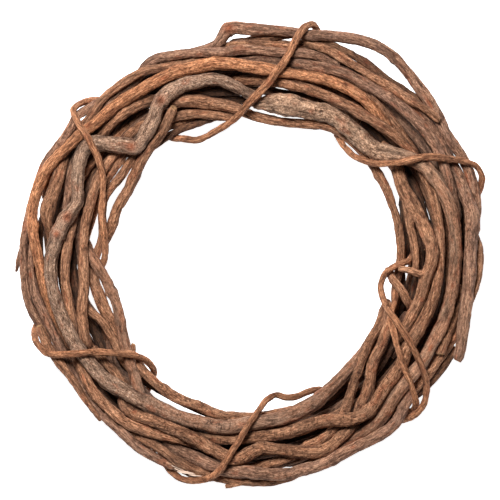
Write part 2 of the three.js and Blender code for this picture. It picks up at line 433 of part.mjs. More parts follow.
vine('binder_left', 'binder', [2.15, 2.1], [
  [327, 108, -10], [323, 118, -10], [319.5, 127, -9.5], [317, 133.6, -7], [316, 137.2, -3],
  [315, 138.8, 1], [313.2, 141.3, 5], [311.7, 143.6, 8], [310.2, 144.5, 9], [309.2, 143.4, 9.5],
  [308.6, 140.4, 10], [307.6, 136.2, 10.6], [306.9, 131, 11], [306, 125, 11], [305, 120, 10.5],
  [304, 116, 10], [302, 111.5, 10], [300, 107.9, 10], [297, 103.8, 10], [293, 101, 10],
  [290, 99.4, 10], [285, 97, 10], [280, 94, 10], [276, 92.2, 10], [272, 91.6, 9],
  [269.5, 92.2, 7], [267.3, 93.6, 4], [265.8, 95.4, 0], [264.5, 97.5, -4], [263, 101.5, -8.5],
  [260.5, 111, -10], [258, 120, -10], [256, 128, -9.5], [254.4, 134, -7], [253.2, 138, -3],
  [252.2, 140.4, 1], [251, 142.3, 5], [249.2, 143.6, 8], [247.2, 143.4, 9.3], [245.4, 142, 10],
  [243.6, 139.5, 10], [242.5, 135, 10], [241.5, 130.5, 10], [240.5, 125.5, 10.5],
  [239.5, 120.5, 10.5], [238.3, 115.5, 10], [236.8, 111, 10], [235, 107, 10], [233, 102.5, 10],
  [231, 98.9, 10], [229, 96.4, 10], [227, 94.8, 9], [225, 94.2, 8], [222.7, 94.5, 6],
  [220.8, 95, 2], [219.2, 96, -3], [218, 100, -8], [217, 109, -10], [216, 119, -10],
  [214.4, 129, -9.5], [212.3, 135.2, -7], [209, 138.3, -3.5], [205.2, 140.4, 0.5],
  [202, 141.8, 4], [199.5, 144.2, 6.5], [197.2, 146.4, 8], [195, 146.7, 9], [193, 145.8, 9.5],
  [191, 144.2, 10], [190, 143, 10], [188.3, 139, 10], [187, 134.5, 10], [186, 129, 10],
  [185, 124.5, 10], [183.5, 119, 10], [182, 113, 10], [180, 106.5, 10], [178, 102, 10],
  [176, 97.5, 9.5], [174, 93.8, 9], [172, 91, 8], [169.8, 89.9, 8], [167, 91.5, 7.5],
  [164.6, 93.5, 7], [162, 94.2, 6], [159, 94.3, 5], [157, 94.4, 4], [155, 95, 1.5], [153, 95.6, -2.5],
  [151, 99, -6], [149, 103.5, -9], [146.5, 111, -10], [142.5, 121, -10], [139, 131, -10],
  [136.8, 137.4, -8], [135.2, 141.2, -3], [134, 142.8, 2], [132.8, 143, 7],
  [131.5, 141, 10], [130.4, 138, 10], [129, 133, 10], [127.5, 127.5, 10], [126.5, 123, 10],
  [125, 118.5, 10], [123, 114, 10], [121, 109.5, 10], [118, 104, 10], [115.5, 100, 9.5],
  [113.5, 96.2, 8.5], [110.5, 96.6, 6], [107, 96.8, 4.5], [103.5, 96, 3],
], { step: BINDER_STEP });

// See-through places in the front of the ring, which the back vines keep clear
// of: from angle, to angle, from radius, to radius
const OPEN_PLACES = [
  [6, 13.5, 105, 109.5], [6, 18, 91.5, 94.5], [24, 30, 95.5, 99.5], [57, 70, 100.5, 105],
  [78, 88, 100, 102], [-5, 11, 138, 140.5], [25, 45, 146, 153], [157, 175, 92, 98],
  [197, 215, 104.5, 109], [232, 239, 105, 108], [249, 257, 102.5, 105.5],
  [264, 267, 113, 115], [271, 277, 129.5, 131.5], [281, 287, 135.7, 137.3],
  [294, 298, 113, 116], [296, 305, 99, 102],
];

// The back vines, which fill the ring behind the front ones: start angle,
// middle radius and level, each wandering slowly as it goes round
const BACK_VINES = [
  [20, 108, -8, 3.4], [75, 117, -8.5, 3.8], [140, 126, -8, 3.1], [190, 131, -7, 3.5],
  [235, 131.5, -3, 2.8], [290, 128, -2.5, 3.6], [335, 117, -2, 3.0], [110, 109, -1.5, 2.8],
];
const BACK_TURN = 375;         // degrees that a back vine covers
const BACK_STRIDE = 7.5;       // degrees between the points of its route
const BACK_REACH = 4;          // how far it strays from its own circle
const BACK_LIFT = 2.3;         // how many levels it rises and falls
const CLEARANCE = 1;           // kept between a back vine and an open place
const BACK_TAPER = 0.8;        // thickness at its end as a share of that at its start

function keepClear(angle, radius, thickness) {
  let clear = radius;
  for (const [from, to, inner, outer] of OPEN_PLACES) {
    const ahead = THREE.MathUtils.euclideanModulo(angle - from + BACK_STRIDE / 2, 360);
    if (ahead > to - from + BACK_STRIDE) continue;
    const low = inner - thickness - CLEARANCE;
    const high = outer + thickness + CLEARANCE;
    if (clear > low && clear < high) clear = clear < (low + high) / 2 ? low : high;
  }
  return clear;
}

BACK_VINES.forEach(([start, middle, level, thickness], i) => {
  const slow = drawBetween(0, 2 * Math.PI);
  const quick = drawBetween(0, 2 * Math.PI);
  const route = [];
  for (let turned = 0; turned <= BACK_TURN; turned += BACK_STRIDE) {
    const turn = THREE.MathUtils.degToRad(turned);
    const wander = 0.7 * Math.sin(2.3 * turn + slow) + 0.3 * Math.sin(5.7 * turn + quick);
    const lift = 0.65 * Math.sin(3.1 * turn + quick) + 0.35 * Math.sin(7.3 * turn + slow);
    const radius = keepClear(start + turned, middle + BACK_REACH * wander, thickness);
    route.push([start + turned, radius, level + BACK_LIFT * lift]);
  }
  const bark = i % 2 ? 'mauve' : 'brown';
  vine(`back_vine_${i + 1}`, bark, [thickness, thickness * BACK_TAPER], route, { step: BACK_STEP });
});

// Settling: vines start as thin lines in the right order of height and
// thicken, each pushing its neighbours aside, mostly up or down
const THIN = 0.25;             // share of the thickness at the start
const GROWING = 160;           // passes in which the vines thicken
const HOLDING = 160;           // passes at full thickness, with each vine drawn to its route
const FREEING = 260;           // last passes, with the contacts alone
const DRAW_ACROSS = 0.12;      // pull back to the route across the ring
const DRAW_UP = 0.04;          // pull back to the route's height
const EVEN_OUT = 0.35;         // how far a shift is shared with the points beside it
const SIDEWAYS = 0.35;         // share of a push that may go sideways
const LONGEST_PUSH = 0.8;      // most that one contact moves a point in a pass
const REACH = 8;               // how near two stretches lie to be tested against each other
const SAME_VINE_SKIP = 4;      // stretches of one vine that are never tested
const BRANCH_ROOT = 3;         // stretches of a branch that lie within its parent
const REACH_UP = 3;            // as many times as far upward, where vines push each other along
const LETTING_GO = 60;         // passes in which the pull to the routes then fades out
const ROOT_PULL = 0.5;         // share of the way that a branch's root moves to its parent
const SECOND_PULL = 0.1;       // the same for the height of the next point

function stretches() {
  const list = [];
  for (const v of vines) {
    for (let i = 0; i + 1 < v.points.length; i++) list.push({ v, i });
  }
  return list;
}

function mayTouch(a, b) {
  if (a.v === b.v) return Math.abs(a.i - b.i) >= SAME_VINE_SKIP;
  if (a.v.parent === b.v) return a.i >= BRANCH_ROOT;
  if (b.v.parent === a.v) return b.i >= BRANCH_ROOT;
  return true;
}

function near(a, b) {
  const reach = a.v.radii[a.i] + b.v.radii[b.i] + REACH;
  const [p, q] = [a.v.points[a.i], a.v.points[a.i + 1]];
  const [r, s] = [b.v.points[b.i], b.v.points[b.i + 1]];
  const apart = (k) => Math.max(Math.min(p[k], q[k]) - Math.max(r[k], s[k]),
    Math.min(r[k], s[k]) - Math.max(p[k], q[k]));
  return apart('x') < reach && apart('y') < reach && apart('z') < REACH_UP * reach;
}

function neighbours() {
  const list = stretches();
  const pairs = [];
  for (let a = 0; a < list.length; a++) {
    for (let b = a + 1; b < list.length; b++) {
      if (mayTouch(list[a], list[b]) && near(list[a], list[b])) pairs.push([list[a], list[b]]);
    }
  }
  return pairs;
}

const clamp01 = (value) => Math.min(1, Math.max(0, value));

// The nearest places on two stretches, as shares of their lengths
function nearest(p1, q1, p2, q2) {
  const d1x = q1.x - p1.x, d1y = q1.y - p1.y, d1z = q1.z - p1.z;
  const d2x = q2.x - p2.x, d2y = q2.y - p2.y, d2z = q2.z - p2.z;
  const rx = p1.x - p2.x, ry = p1.y - p2.y, rz = p1.z - p2.z;
  const a = d1x * d1x + d1y * d1y + d1z * d1z;
  const e = d2x * d2x + d2y * d2y + d2z * d2z;
  const f = d2x * rx + d2y * ry + d2z * rz;
  const c = d1x * rx + d1y * ry + d1z * rz;
  const b = d1x * d2x + d1y * d2y + d1z * d2z;
  const spread = a * e - b * b;
  let s = spread > 1e-9 ? clamp01((b * f - c * e) / spread) : 0.5;
  let t = (b * s + f) / e;
  if (t < 0 || t > 1) {
    t = clamp01(t);
    s = clamp01((b * t - c) / a);
  }
  return [s, t];
}

// Pushes two stretches apart where they are too near, and returns by how much they were
function part([a, b], thickness) {
  const p1 = a.v.points[a.i], q1 = a.v.points[a.i + 1];
  const p2 = b.v.points[b.i], q2 = b.v.points[b.i + 1];
  const [s, t] = nearest(p1, q1, p2, q2);
  const x = p1.x + (q1.x - p1.x) * s - p2.x - (q2.x - p2.x) * t;
  const y = p1.y + (q1.y - p1.y) * s - p2.y - (q2.y - p2.y) * t;
  const z = p1.z + (q1.z - p1.z) * s - p2.z - (q2.z - p2.z) * t;
  const distance = Math.hypot(x, y, z) || 1e-6;
  const reach = thickness * (Math.max(a.v.radii[a.i], a.v.radii[a.i + 1])
    + Math.max(b.v.radii[b.i], b.v.radii[b.i + 1])) + GAP;
  const short = reach - distance;
  if (short <= 0) return 0;
  const nx = x / distance, ny = y / distance, nz = z / distance;
  const effect = SIDEWAYS * (nx * nx + ny * ny) + nz * nz;
  const push = Math.min(short, LONGEST_PUSH) / effect / 2;
  const move = (point, share) => {
    point.x += SIDEWAYS * nx * push * share;
    point.y += SIDEWAYS * ny * push * share;
    point.z += nz * push * share;
  };
  const evenA = (1 - s) * (1 - s) + s * s;
  const evenB = (1 - t) * (1 - t) + t * t;
  move(p1, (1 - s) / evenA);
  move(q1, s / evenA);
  move(p2, -(1 - t) / evenB);
  move(q2, -t / evenB);
  return short;
}

function drawToRoute(v, strength) {
  v.points.forEach((p, i) => {
    const home = v.home[i];
    p.x += strength * DRAW_ACROSS * (home.x - p.x);
    p.y += strength * DRAW_ACROSS * (home.y - p.y);
    p.z += strength * DRAW_UP * (home.z - p.z);
  });
}

function evenOut(v, strength) {
  const shift = v.points.map((p, i) => p.clone().sub(v.home[i]));
  for (let i = 1; i + 1 < v.points.length; i++) {
    const beside = shift[i - 1].clone().add(shift[i + 1]).multiplyScalar(0.5);
    v.points[i].addScaledVector(beside.sub(shift[i]), strength * EVEN_OUT);
  }
}

// A branch starts at the middle of its parent, wherever that has moved to
function followParent(v) {
  const root = v.points[0];
  let best = v.parent.points[0];
  for (const p of v.parent.points) {
    if (p.distanceTo(v.home[0]) < best.distanceTo(v.home[0])) best = p;
  }
  root.lerp(best, ROOT_PULL);
  v.points[1].z += SECOND_PULL * (root.z - v.points[1].z);
}

function settle() {
  const pairs = neighbours();
  for (let pass = 0; pass < GROWING + HOLDING + FREEING; pass++) {
    const thickness = Math.min(1, THIN + (1 - THIN) * (pass / GROWING));
    const late = Math.max(0, pass - GROWING - HOLDING);
    const hold = Math.max(0, 1 - late / LETTING_GO);
    for (const v of vines) {
      drawToRoute(v, hold);
      evenOut(v, hold);
      if (v.parent) followParent(v);
    }
    for (const pair of pairs) part(pair, thickness);
    for (const v of vines) {
      v.points.forEach((p, i) => { p.z = Math.max(p.z, FLAT * v.radii[i]); });
    }
  }
}

settle();

// Solids: a six-sided section at each point, turned so that where the vine
// lies level one of its flat sides looks straight down
const UPRIGHT = 0.9;           // rise of a direction that is nearly straight up
const STEEP = 0.7;             // rise beyond which a section isn't squared to the table
const SAME_PLACE = 1e-4;       // corners nearer than this are one

function sectionTurns(points) {
  const turns = [];
  let side = null;
  points.forEach((point, i) => {
    const back = points[Math.max(0, i - 1)];
    const ahead = points[Math.min(points.length - 1, i + 1)];
    const along = ahead.clone().sub(back).normalize();
    if (!side) side = Math.abs(along.z) < UPRIGHT ? new THREE.Vector3(0, 0, 1) : new THREE.Vector3(1, 0, 0);
    side = side.clone().addScaledVector(along, -side.dot(along)).normalize();
    if (Math.abs(along.z) < STEEP) {
      const up = new THREE.Vector3(0, 0, 1).addScaledVector(along, -along.z).normalize();
      const across = new THREE.Vector3().crossVectors(along, up);
      const angle = Math.atan2(side.dot(across), side.dot(up));
      const stride = (2 * Math.PI) / SIDES;
      const nearestLike = Math.round(angle / stride) * stride;
      side = up.multiplyScalar(Math.cos(nearestLike)).addScaledVector(across, Math.sin(nearestLike));
    }
    turns.push({ along, side: side.clone(), across: new THREE.Vector3().crossVectors(along, side) });
  });
  return turns;
}

function tube(points, radii) {
  const vertices = [];
  const faces = [];
  const turns = sectionTurns(points);
  points.forEach((point, i) => {
    for (let k = 0; k < SIDES; k++) {
      const angle = ((k + 0.5) * 2 * Math.PI) / SIDES;
      vertices.push(point.clone()
        .addScaledVector(turns[i].side, radii[i] * Math.cos(angle))
        .addScaledVector(turns[i].across, radii[i] * Math.sin(angle)));
    }
  });
  const last = points.length - 1;
  for (let i = 0; i < last; i++) {
    for (let k = 0; k < SIDES; k++) {
      const a = i * SIDES + k;
      const b = i * SIDES + ((k + 1) % SIDES);
      faces.push(a, b, b + SIDES, a, b + SIDES, a + SIDES);
    }
  }
  const cap = (ring, direction) => {
    const centre = vertices.length;
    const bulge = direction * CUT_BULGE * radii[ring];
    vertices.push(points[ring].clone().addScaledVector(turns[ring].along, bulge));
    for (let k = 0; k < SIDES; k++) {
      const a = ring * SIDES + k;
      const b = ring * SIDES + ((k + 1) % SIDES);
      if (direction > 0) faces.push(a, b, centre);
      else faces.push(b, a, centre);
    }
  };
  cap(0, -1);
  cap(last, 1);
  for (const vertex of vertices) vertex.z = Math.max(0, vertex.z);
  const geometry = new THREE.BufferGeometry();
  const numbers = vertices.flatMap((vertex) => vertex.toArray());
  geometry.setAttribute('position', new THREE.Float32BufferAttribute(numbers, 3));
  geometry.setIndex(faces);
  return geometry;
}

function toSolid(geometry) {
  const merged = mergeVertices(geometry, SAME_PLACE);
  return new wasm.Manifold(new wasm.Mesh({
    numProp: 3,
    vertProperties: new Float32Array(merged.attributes.position.array),
    triVerts: new Uint32Array(merged.index.array),
  }));
}

function toGeometry(solid) {
  const mesh = solid.getMesh();
  const geometry = new THREE.BufferGeometry();
  geometry.setAttribute('position', new THREE.BufferAttribute(mesh.vertProperties, 3));
  geometry.setIndex(new THREE.BufferAttribute(mesh.triVerts, 1));
  return geometry;
}

// A vine and the branches that grew from it are one solid
function grown(v) {
  const branches = vines.filter((other) => other.parent === v);
  const stem = tube(v.points, v.radii);
  if (!branches.length) return stem;
  const joined = branches.reduce((solid, b) => solid.add(toSolid(tube(b.points, b.radii))), toSolid(stem));
  return toGeometry(joined);
}

// The wreath
const wreath = new THREE.Group();
for (const v of vines.filter((each) => !each.parent)) {
  const material = new THREE.MeshStandardMaterial({ color: BARK[v.bark], roughness: 0.8, metalness: 0 });
  const mesh = new THREE.Mesh(grown(v), material);
  mesh.name = v.name;
  wreath.add(mesh);
}

// The origin is on the table, under the middle of the wreath's outline
const outline = new THREE.Box3().setFromObject(wreath);
const middle = outline.getCenter(new THREE.Vector3());
wreath.position.set(-middle.x, -middle.y, -outline.min.z);

export default wreath;
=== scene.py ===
# %% [markdown]
# # A bare willow wreath
#
# The wreath is a ring of dry vines that were twisted together while they were green and tied
# with two thinner vines. This lesson takes the plain six-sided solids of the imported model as
# a fixed frame and grows a round, creased and knotted vine along each of them. Keeping the
# frame as the guide means that every vine stays where the physical model has it.

# %% Load the frame
import json
import math
from functools import partial
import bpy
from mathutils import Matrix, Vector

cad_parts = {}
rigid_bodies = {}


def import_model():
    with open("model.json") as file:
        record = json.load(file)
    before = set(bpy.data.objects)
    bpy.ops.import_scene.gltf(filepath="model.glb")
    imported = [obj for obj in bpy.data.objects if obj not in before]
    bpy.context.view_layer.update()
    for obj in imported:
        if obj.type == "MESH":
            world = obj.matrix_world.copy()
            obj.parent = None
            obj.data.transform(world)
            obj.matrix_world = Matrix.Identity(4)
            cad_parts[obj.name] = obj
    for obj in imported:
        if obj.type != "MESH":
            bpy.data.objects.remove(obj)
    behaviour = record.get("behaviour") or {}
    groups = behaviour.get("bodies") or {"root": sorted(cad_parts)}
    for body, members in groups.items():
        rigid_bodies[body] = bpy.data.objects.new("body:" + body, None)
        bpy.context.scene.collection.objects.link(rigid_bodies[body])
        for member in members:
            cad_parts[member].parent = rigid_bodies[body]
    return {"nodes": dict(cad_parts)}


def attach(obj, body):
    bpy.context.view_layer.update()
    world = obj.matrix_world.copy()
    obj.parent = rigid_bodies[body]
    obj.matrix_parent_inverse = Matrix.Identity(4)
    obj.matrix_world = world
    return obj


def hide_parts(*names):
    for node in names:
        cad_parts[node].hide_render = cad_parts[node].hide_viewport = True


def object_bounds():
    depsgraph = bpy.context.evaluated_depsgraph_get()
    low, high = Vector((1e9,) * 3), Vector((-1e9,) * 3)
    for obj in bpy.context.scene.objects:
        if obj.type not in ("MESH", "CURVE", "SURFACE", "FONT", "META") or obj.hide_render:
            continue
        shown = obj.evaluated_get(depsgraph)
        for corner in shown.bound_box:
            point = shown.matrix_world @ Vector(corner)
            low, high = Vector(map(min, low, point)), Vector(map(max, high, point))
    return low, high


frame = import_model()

from types import SimpleNamespace

import bpy
import numpy as np
from mathutils import Vector

for name in ("Cube", "Light", "Camera"):
    if name in bpy.data.objects:
        bpy.data.objects.remove(bpy.data.objects[name])
CAD_BOX = [list(corner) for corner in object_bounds()]
MM = 0.001
RING_CENTRE = np.array([-0.48, -0.72]) * MM   # the middle of the ring, seen from above
print(f"{len(frame['nodes'])} vines, in a box of {np.subtract(*CAD_BOX[::-1]) / MM} mm")

# %% [markdown]
# ## Finding the line each vine follows
#
# A vine's solid is a stack of six-cornered rings with a shallow point at each cut end. The
# middle of each ring is a point of the vine's centre line, and the ring's size is the vine's
# thickness there. Typing the lines in again would be slow and would drift away from the
# frame, so the rings are read back from the mesh: starting at a cut end, the six corners
# next to the ones already passed are always the next ring.

# %% Join the corners of a solid
RING = 6              # corners in one ring
WELD = 1e-5           # corners nearer than this, in metres, are one


def joined_corners(node):
    """The separate corners of a node's mesh, and which corners each one is joined to."""
    raw = np.empty(len(node.data.vertices) * 3)
    node.data.vertices.foreach_get("co", raw)
    raw = raw.reshape(-1, 3)
    rounded = np.round(raw / WELD)
    _, first, index = np.unique(rounded, axis=0, return_index=True, return_inverse=True)
    index = index.ravel()
    beside = [set() for _ in first]
    for face in node.data.polygons:
        ids = [int(index[v]) for v in face.vertices]
        for i in ids:
            beside[i].update(k for k in ids if k != i)
    return raw[first], beside


# %% Find the cut ends and walk from them
END_POINT = (0.06, 0.32)      # how far an end's point stands out, in ring sizes
END_UNEVEN = 0.20             # how much the six corners round it may differ in distance


def is_cut_end(i, corners, beside):
    """True where a corner is the shallow point in the middle of a cut end."""
    if len(beside[i]) != RING:
        return False
    around = corners[sorted(beside[i])]
    middle = around.mean(0)
    sizes = np.linalg.norm(around - middle, axis=1)
    stands_out = np.linalg.norm(corners[i] - middle) / sizes.mean()
    closed = all(len(beside[k] & beside[i]) == 2 for k in beside[i])
    is_round = np.ptp(sizes) / sizes.mean() < END_UNEVEN
    return closed and is_round and END_POINT[0] < stands_out < END_POINT[1]


def ring_size(around):
    return np.median(np.linalg.norm(around - around.mean(0), axis=1))


def walk(end, corners, beside, seen):
    """Middles and sizes of the rings from a cut end to the other end or to a fork, and the way on."""
    ring, middles, sizes = set(beside[end]), [corners[end]], []
    passed = {end}
    while len(ring) == RING:
        around = corners[sorted(ring)]
        middles.append(around.mean(0))
        sizes.append(ring_size(around))
        passed |= ring
        ring = set().union(*(beside[i] for i in ring)) - passed
    seen |= passed
    onward = middles[-1] - middles[-2]
    return np.array(middles[1:]), np.array(sizes), onward / np.linalg.norm(onward)


# %% [markdown]
# A stem with two forks has rings between them that no cut end leads to. They are found as
# closed loops of six corners whose sides are all of one length.

# %% Rings between two forks
EQUAL_SIDES = 0.08    # how much the six sides of a loose ring may differ
LONGEST_SIDE = 1.3    # no side of a ring is longer than this many ring sizes


def loose_rings(corners, beside, seen, longest):
    """Middles and sizes of the rings that no walk has reached."""
    free = set(range(len(corners))) - seen
    near = {i: [k for k in beside[i] & free if np.linalg.norm(corners[i] - corners[k]) < longest]
            for i in free}
    found = []
    while free:
        loop, waiting = set(), [min(free)]
        while waiting:
            i = waiting.pop()
            if i not in loop:
                loop.add(i)
                waiting += near[i]
        free -= loop
        if len(loop) != RING or any(len(near[i]) != 2 for i in loop):
            continue
        sides = [np.linalg.norm(corners[i] - corners[k]) for i in loop for k in near[i]]
        if np.ptp(sides) < EQUAL_SIDES * np.mean(sides):
            around = corners[sorted(loop)]
            found.append((around.mean(0), ring_size(around)))
    return found


# %% [markdown]
# The rings are a few millimetres apart, which would show as corners. A curve through them
# that leans at each ring toward its neighbours is smooth, and can be cut into even steps.

# %% A smooth line with evenly spaced points
def even_points(line, size, spacing):
    """Even points on a smooth line through the given ones, their sizes, and the distance along."""
    gaps = np.linalg.norm(np.diff(line, axis=0), axis=1)
    at = np.concatenate([[0], np.cumsum(gaps)])
    slopes = np.diff(line, axis=0) / gaps[:, None]
    before, after = gaps[:-1, None], gaps[1:, None]
    between = (slopes[:-1] * after + slopes[1:] * before) / (after + before)
    lean = np.vstack([slopes[:1], between, slopes[-1:]])
    fine = np.linspace(0, at[-1], max(8, int(at[-1] / spacing * 2)))
    k = np.clip(np.searchsorted(at, fine, side="right") - 1, 0, len(gaps) - 1)
    t = ((fine - at[k]) / gaps[k])[:, None]
    width = gaps[k][:, None]
    curve = ((1 + 2 * t) * (1 - t) ** 2 * line[k] + t * (1 - t) ** 2 * width * lean[k]
             + t ** 2 * (3 - 2 * t) * line[k + 1] + t ** 2 * (t - 1) * width * lean[k + 1])
    sizes = np.interp(fine, at, size)
    run = np.concatenate([[0], np.cumsum(np.linalg.norm(np.diff(curve, axis=0), axis=1))])
    even = np.linspace(0, run[-1], max(4, int(round(run[-1] / spacing)) + 1))
    points = np.column_stack([np.interp(even, run, curve[:, axis]) for axis in range(3)])
    return points, np.interp(even, run, sizes), even


# %% Strands of one vine
FAR_AHEAD = 0.15      # what a millimetre ahead counts, against one beside the branch's way
BEHIND = 1.0          # metres added to a point that lies behind the branch, to rule it out


def stem_point_near(start, heading, line, size):
    """Where a branch that heads this way meets the middle of its stem."""
    smooth = even_points(line, size, 1 * MM)[0]
    offset = smooth - start
    ahead = offset @ heading
    aside = np.linalg.norm(offset - ahead[:, None] * heading, axis=1)
    return smooth[np.argmin(aside + FAR_AHEAD * np.abs(ahead) + BEHIND * (ahead < 0))]


def strands(node):
    """The lines of a vine: one, or the stem and then each of its branches."""
    corners, beside = joined_corners(node)
    ends = [i for i in range(len(corners)) if is_cut_end(i, corners, beside)]
    seen = set()
    runs = [walk(end, corners, beside, seen) for end in ends]
    if len(runs) == 2:
        return [runs[0][:2]]
    first, second, *branches = sorted(runs, key=lambda run: -run[1][-1])
    line, size = list(first[0]), list(first[1])
    longest = LONGEST_SIDE * max(first[1][-1], second[1][-1])
    between = loose_rings(corners, beside, seen, longest)
    while between:
        between.sort(key=lambda ring: -np.linalg.norm(ring[0] - line[-1]))
        middle, thickness_there = between.pop()
        line.append(middle)
        size.append(thickness_there)
    stem = (np.vstack([line, second[0][::-1]]), np.concatenate([size, second[1][::-1]]))
    rows = [stem]
    for middles, sizes, onward in branches:
        root = stem_point_near(middles[-1], onward, *stem)
        rows.append((np.vstack([middles, root]), np.append(sizes, sizes[-1])))
    return rows


LINES = {name: strands(node) for name, node in sorted(frame["nodes"].items())}
every_line = [line for rows in LINES.values() for line, _ in rows]
total = sum(np.linalg.norm(np.diff(line, axis=0), axis=1).sum() for line in every_line)
print(f"{len(LINES)} vines, {len(every_line)} strands, {total:.1f} m of vine")
print("forked:", {name: len(rows) for name, rows in LINES.items() if len(rows) > 1})

# %% [markdown]
# ## Uneven surfaces that come out the same each time
#
# Bark has no straight line in it, so nearly every step below bends or dents something by a
# little. Random numbers on a grid, blended smoothly between the grid's corners, give bumps
# of any size. The numbers are worked out from the grid position alone, so the wreath is the
# same on every run and in every order of making.

# %% Smooth random values
def grid_value(x, y, z, seed):
    """A fixed number from 0 to 1 for each corner of a grid. The large odd numbers stir the bits."""
    big = np.uint64
    bits = x.astype(big) * big(73856093) ^ y.astype(big) * big(19349663) ^ z.astype(big) * big(83492791)
    bits = (bits ^ big(seed * 7919 + 17)) * big(1274126177)
    bits = (bits ^ (bits >> big(15))) * big(2246822519)
    bits = bits ^ (bits >> big(13))
    return (bits & big(0xFFFF)) / 65535.0


def uneven(points, seed):
    """Smooth random values from -1 to 1 at an array of points, with bumps about one unit wide."""
    cell = np.floor(points).astype(np.int64)
    part = points - cell
    part = part * part * (3 - 2 * part)
    value = 0
    for corner in np.ndindex(2, 2, 2):
        weight = 1
        for axis in range(3):
            weight = weight * (part[..., axis] if corner[axis] else 1 - part[..., axis])
        value = value + weight * grid_value(*(cell[..., axis] + corner[axis] for axis in range(3)), seed)
    return 2 * value - 1


def uneven_along(distance, size, seed):
    """The same for a row of distances, with bumps of the given size."""
    rows = np.column_stack([distance / size, np.full_like(distance, seed * 3.7), np.zeros_like(distance)])
    return uneven(rows, seed)


sample = uneven_along(np.linspace(0, 1, 200), 0.01, 3)
print(f"smooth random values from {sample.min():.2f} to {sample.max():.2f}")

# %% [markdown]
# ## Painted shade inside the bundle
#
# Bark that lies inside the ring, between other vines, is painted darker as shade. How far
# inside a place lies is read from a coarse grid of cells: each takes up the amount of vine that
# passes through it, and is then blurred with its neighbours. A place at the surface has vines
# on one side only, so its value is low.

# %% How crowded each place is
CELL = 3 * MM
MARGIN = 4            # empty cells round the wreath
BLUR = 6.5 * MM
BLUR_CELLS = 6        # how far the blur reaches, in cells


def crowding_grid():
    """The lowest corner of the grid, and the share of space that vines fill, cell by cell."""
    low = np.array(CAD_BOX[0]) - MARGIN * CELL
    shape = np.ceil((np.array(CAD_BOX[1]) - low) / CELL).astype(int) + MARGIN + 1
    filled = np.zeros(shape)
    step = CELL / 2
    for rows in LINES.values():
        for line, size in rows:
            points, radii, _ = even_points(line, size, step)
            cells = tuple(np.round((points - low) / CELL).astype(int).T)
            np.add.at(filled, cells, math.pi * radii ** 2 * step / CELL ** 3)
    reach = np.arange(-BLUR_CELLS, BLUR_CELLS + 1) * CELL
    weights = np.exp(-0.5 * (reach / BLUR) ** 2)
    for axis in range(3):
        filled = np.apply_along_axis(np.convolve, axis, filled, weights / weights.sum(), "same")
    return low, filled


CROWDING = crowding_grid()
print(f"fullest place {CROWDING[1].max():.2f} vine")


# %% Read the grid at any point
def crowding_at(points):
    """The grid's value at each point, blended between the cells around it."""
    low, filled = CROWDING
    place = np.clip((points - low) / CELL, 0, np.array(filled.shape) - 1.001)
    cell = place.astype(int)
    part = place - cell
    value = 0
    for corner in np.ndindex(2, 2, 2):
        sides = [part[:, axis] if corner[axis] else 1 - part[:, axis] for axis in range(3)]
        value = value + np.prod(sides, axis=0) * filled[tuple((cell + corner).T)]
    return value


def smooth_step(value, low, high):
    """0 below low, 1 above high, and smooth between them."""
    share = np.clip((value - low) / (high - low), 0, 1)
    return share * share * (3 - 2 * share)


print(f"crowding {crowding_at(every_line[0])[:3].round(2)} at one end of the first vine")

# %% [markdown]
# ## The bark's relief
#
# Dry vine bark swells a little at each old bud, is never quite round, and is split along its
# length into shallow fissures that wind slowly round the stem. All of this is real relief of
# a few tenths of a millimetre, so it is made in the mesh. Only the finest fibres are left to
# the material.

# %% Relief of one strand
# Bumps per mm round the vine and along it.
LUMPS, FURROWS, CREASES, CRUMBLE = (0.33, 0.20), (0.55, 0.07), (0.9, 0.16), (1.1, 0.5)
LOPSIDED = (0.055, 17)        # how far from round, as a share of the radius, and over how many mm
FURROW_START, CREASE_START = 0.74, 0.8     # nearer 1 makes the lines thinner


def bumps(spot, per_mm, seed):
    round_vine, along_vine = per_mm
    return uneven(spot * [round_vine, round_vine, along_vine], seed)


def winding_lines(spot, per_mm, start, seed):
    """Thin lines that wind along the vine: 1 in the middle of each, and 0 beside it."""
    ridge = 1 - np.abs(bumps(spot, per_mm, seed))
    return np.clip((ridge - start) / (1 - start), 0, 1)


def relief(round_x, round_y, along, radius, rough, seed):
    """How far the bark stands out, in mm, and how deep in a fissure each point is."""
    spot = np.stack([round_x * radius, round_y * radius, along], axis=-1)
    slow = np.stack([round_x, round_y, along / LOPSIDED[1]], axis=-1)
    lopsided = uneven(slow, seed) * LOPSIDED[0] * radius
    lumps = bumps(spot, LUMPS, seed + 1) * (0.18 + 0.32 * rough)
    fissure = winding_lines(spot, FURROWS, FURROW_START, seed + 2) ** 1.3
    crease = winding_lines(spot, CREASES, CREASE_START, seed + 3)
    crumble = bumps(spot, CRUMBLE, seed + 4) * (0.13 + 0.22 * rough)
    height = lopsided + lumps + crumble - (0.42 + 0.1 * rough) * fissure - 0.2 * crease
    return height, np.clip(0.8 * fissure + 0.4 * crease, 0, 1)


# %% [markdown]
# Old buds leave a swollen ring and a small bump on one side. They come every few centimetres
# along a vine, at uneven distances.

# %% Swellings at old buds
BUD_SPACING = (22, 60)        # mm
BUD_FREE = (5, 4)             # mm without swellings at the two ends
BUD_WIDTH = (1.6, 3.0)        # mm
BUD_RING = (0.02, 0.085)      # height all round, as a share of the radius
BUD_BUMP = (0.03, 0.17)       # height of the bump on one side, as a share of the radius
BUMP_TURN = 0.6               # how far round the vine the bump reaches, in radians


def buds(length, radius, rng):
    """Places along a vine, in mm, each with a width, a swelling and the side of its bump."""
    rows, at = [], rng.uniform(BUD_FREE[0], BUD_SPACING[0])
    while at < length - BUD_FREE[1]:
        rows.append((at, rng.uniform(*BUD_WIDTH), rng.uniform(*BUD_RING) * radius,
                     rng.uniform(0, 2 * math.pi), rng.uniform(*BUD_BUMP) * radius))
        at += rng.uniform(*BUD_SPACING)
    return rows


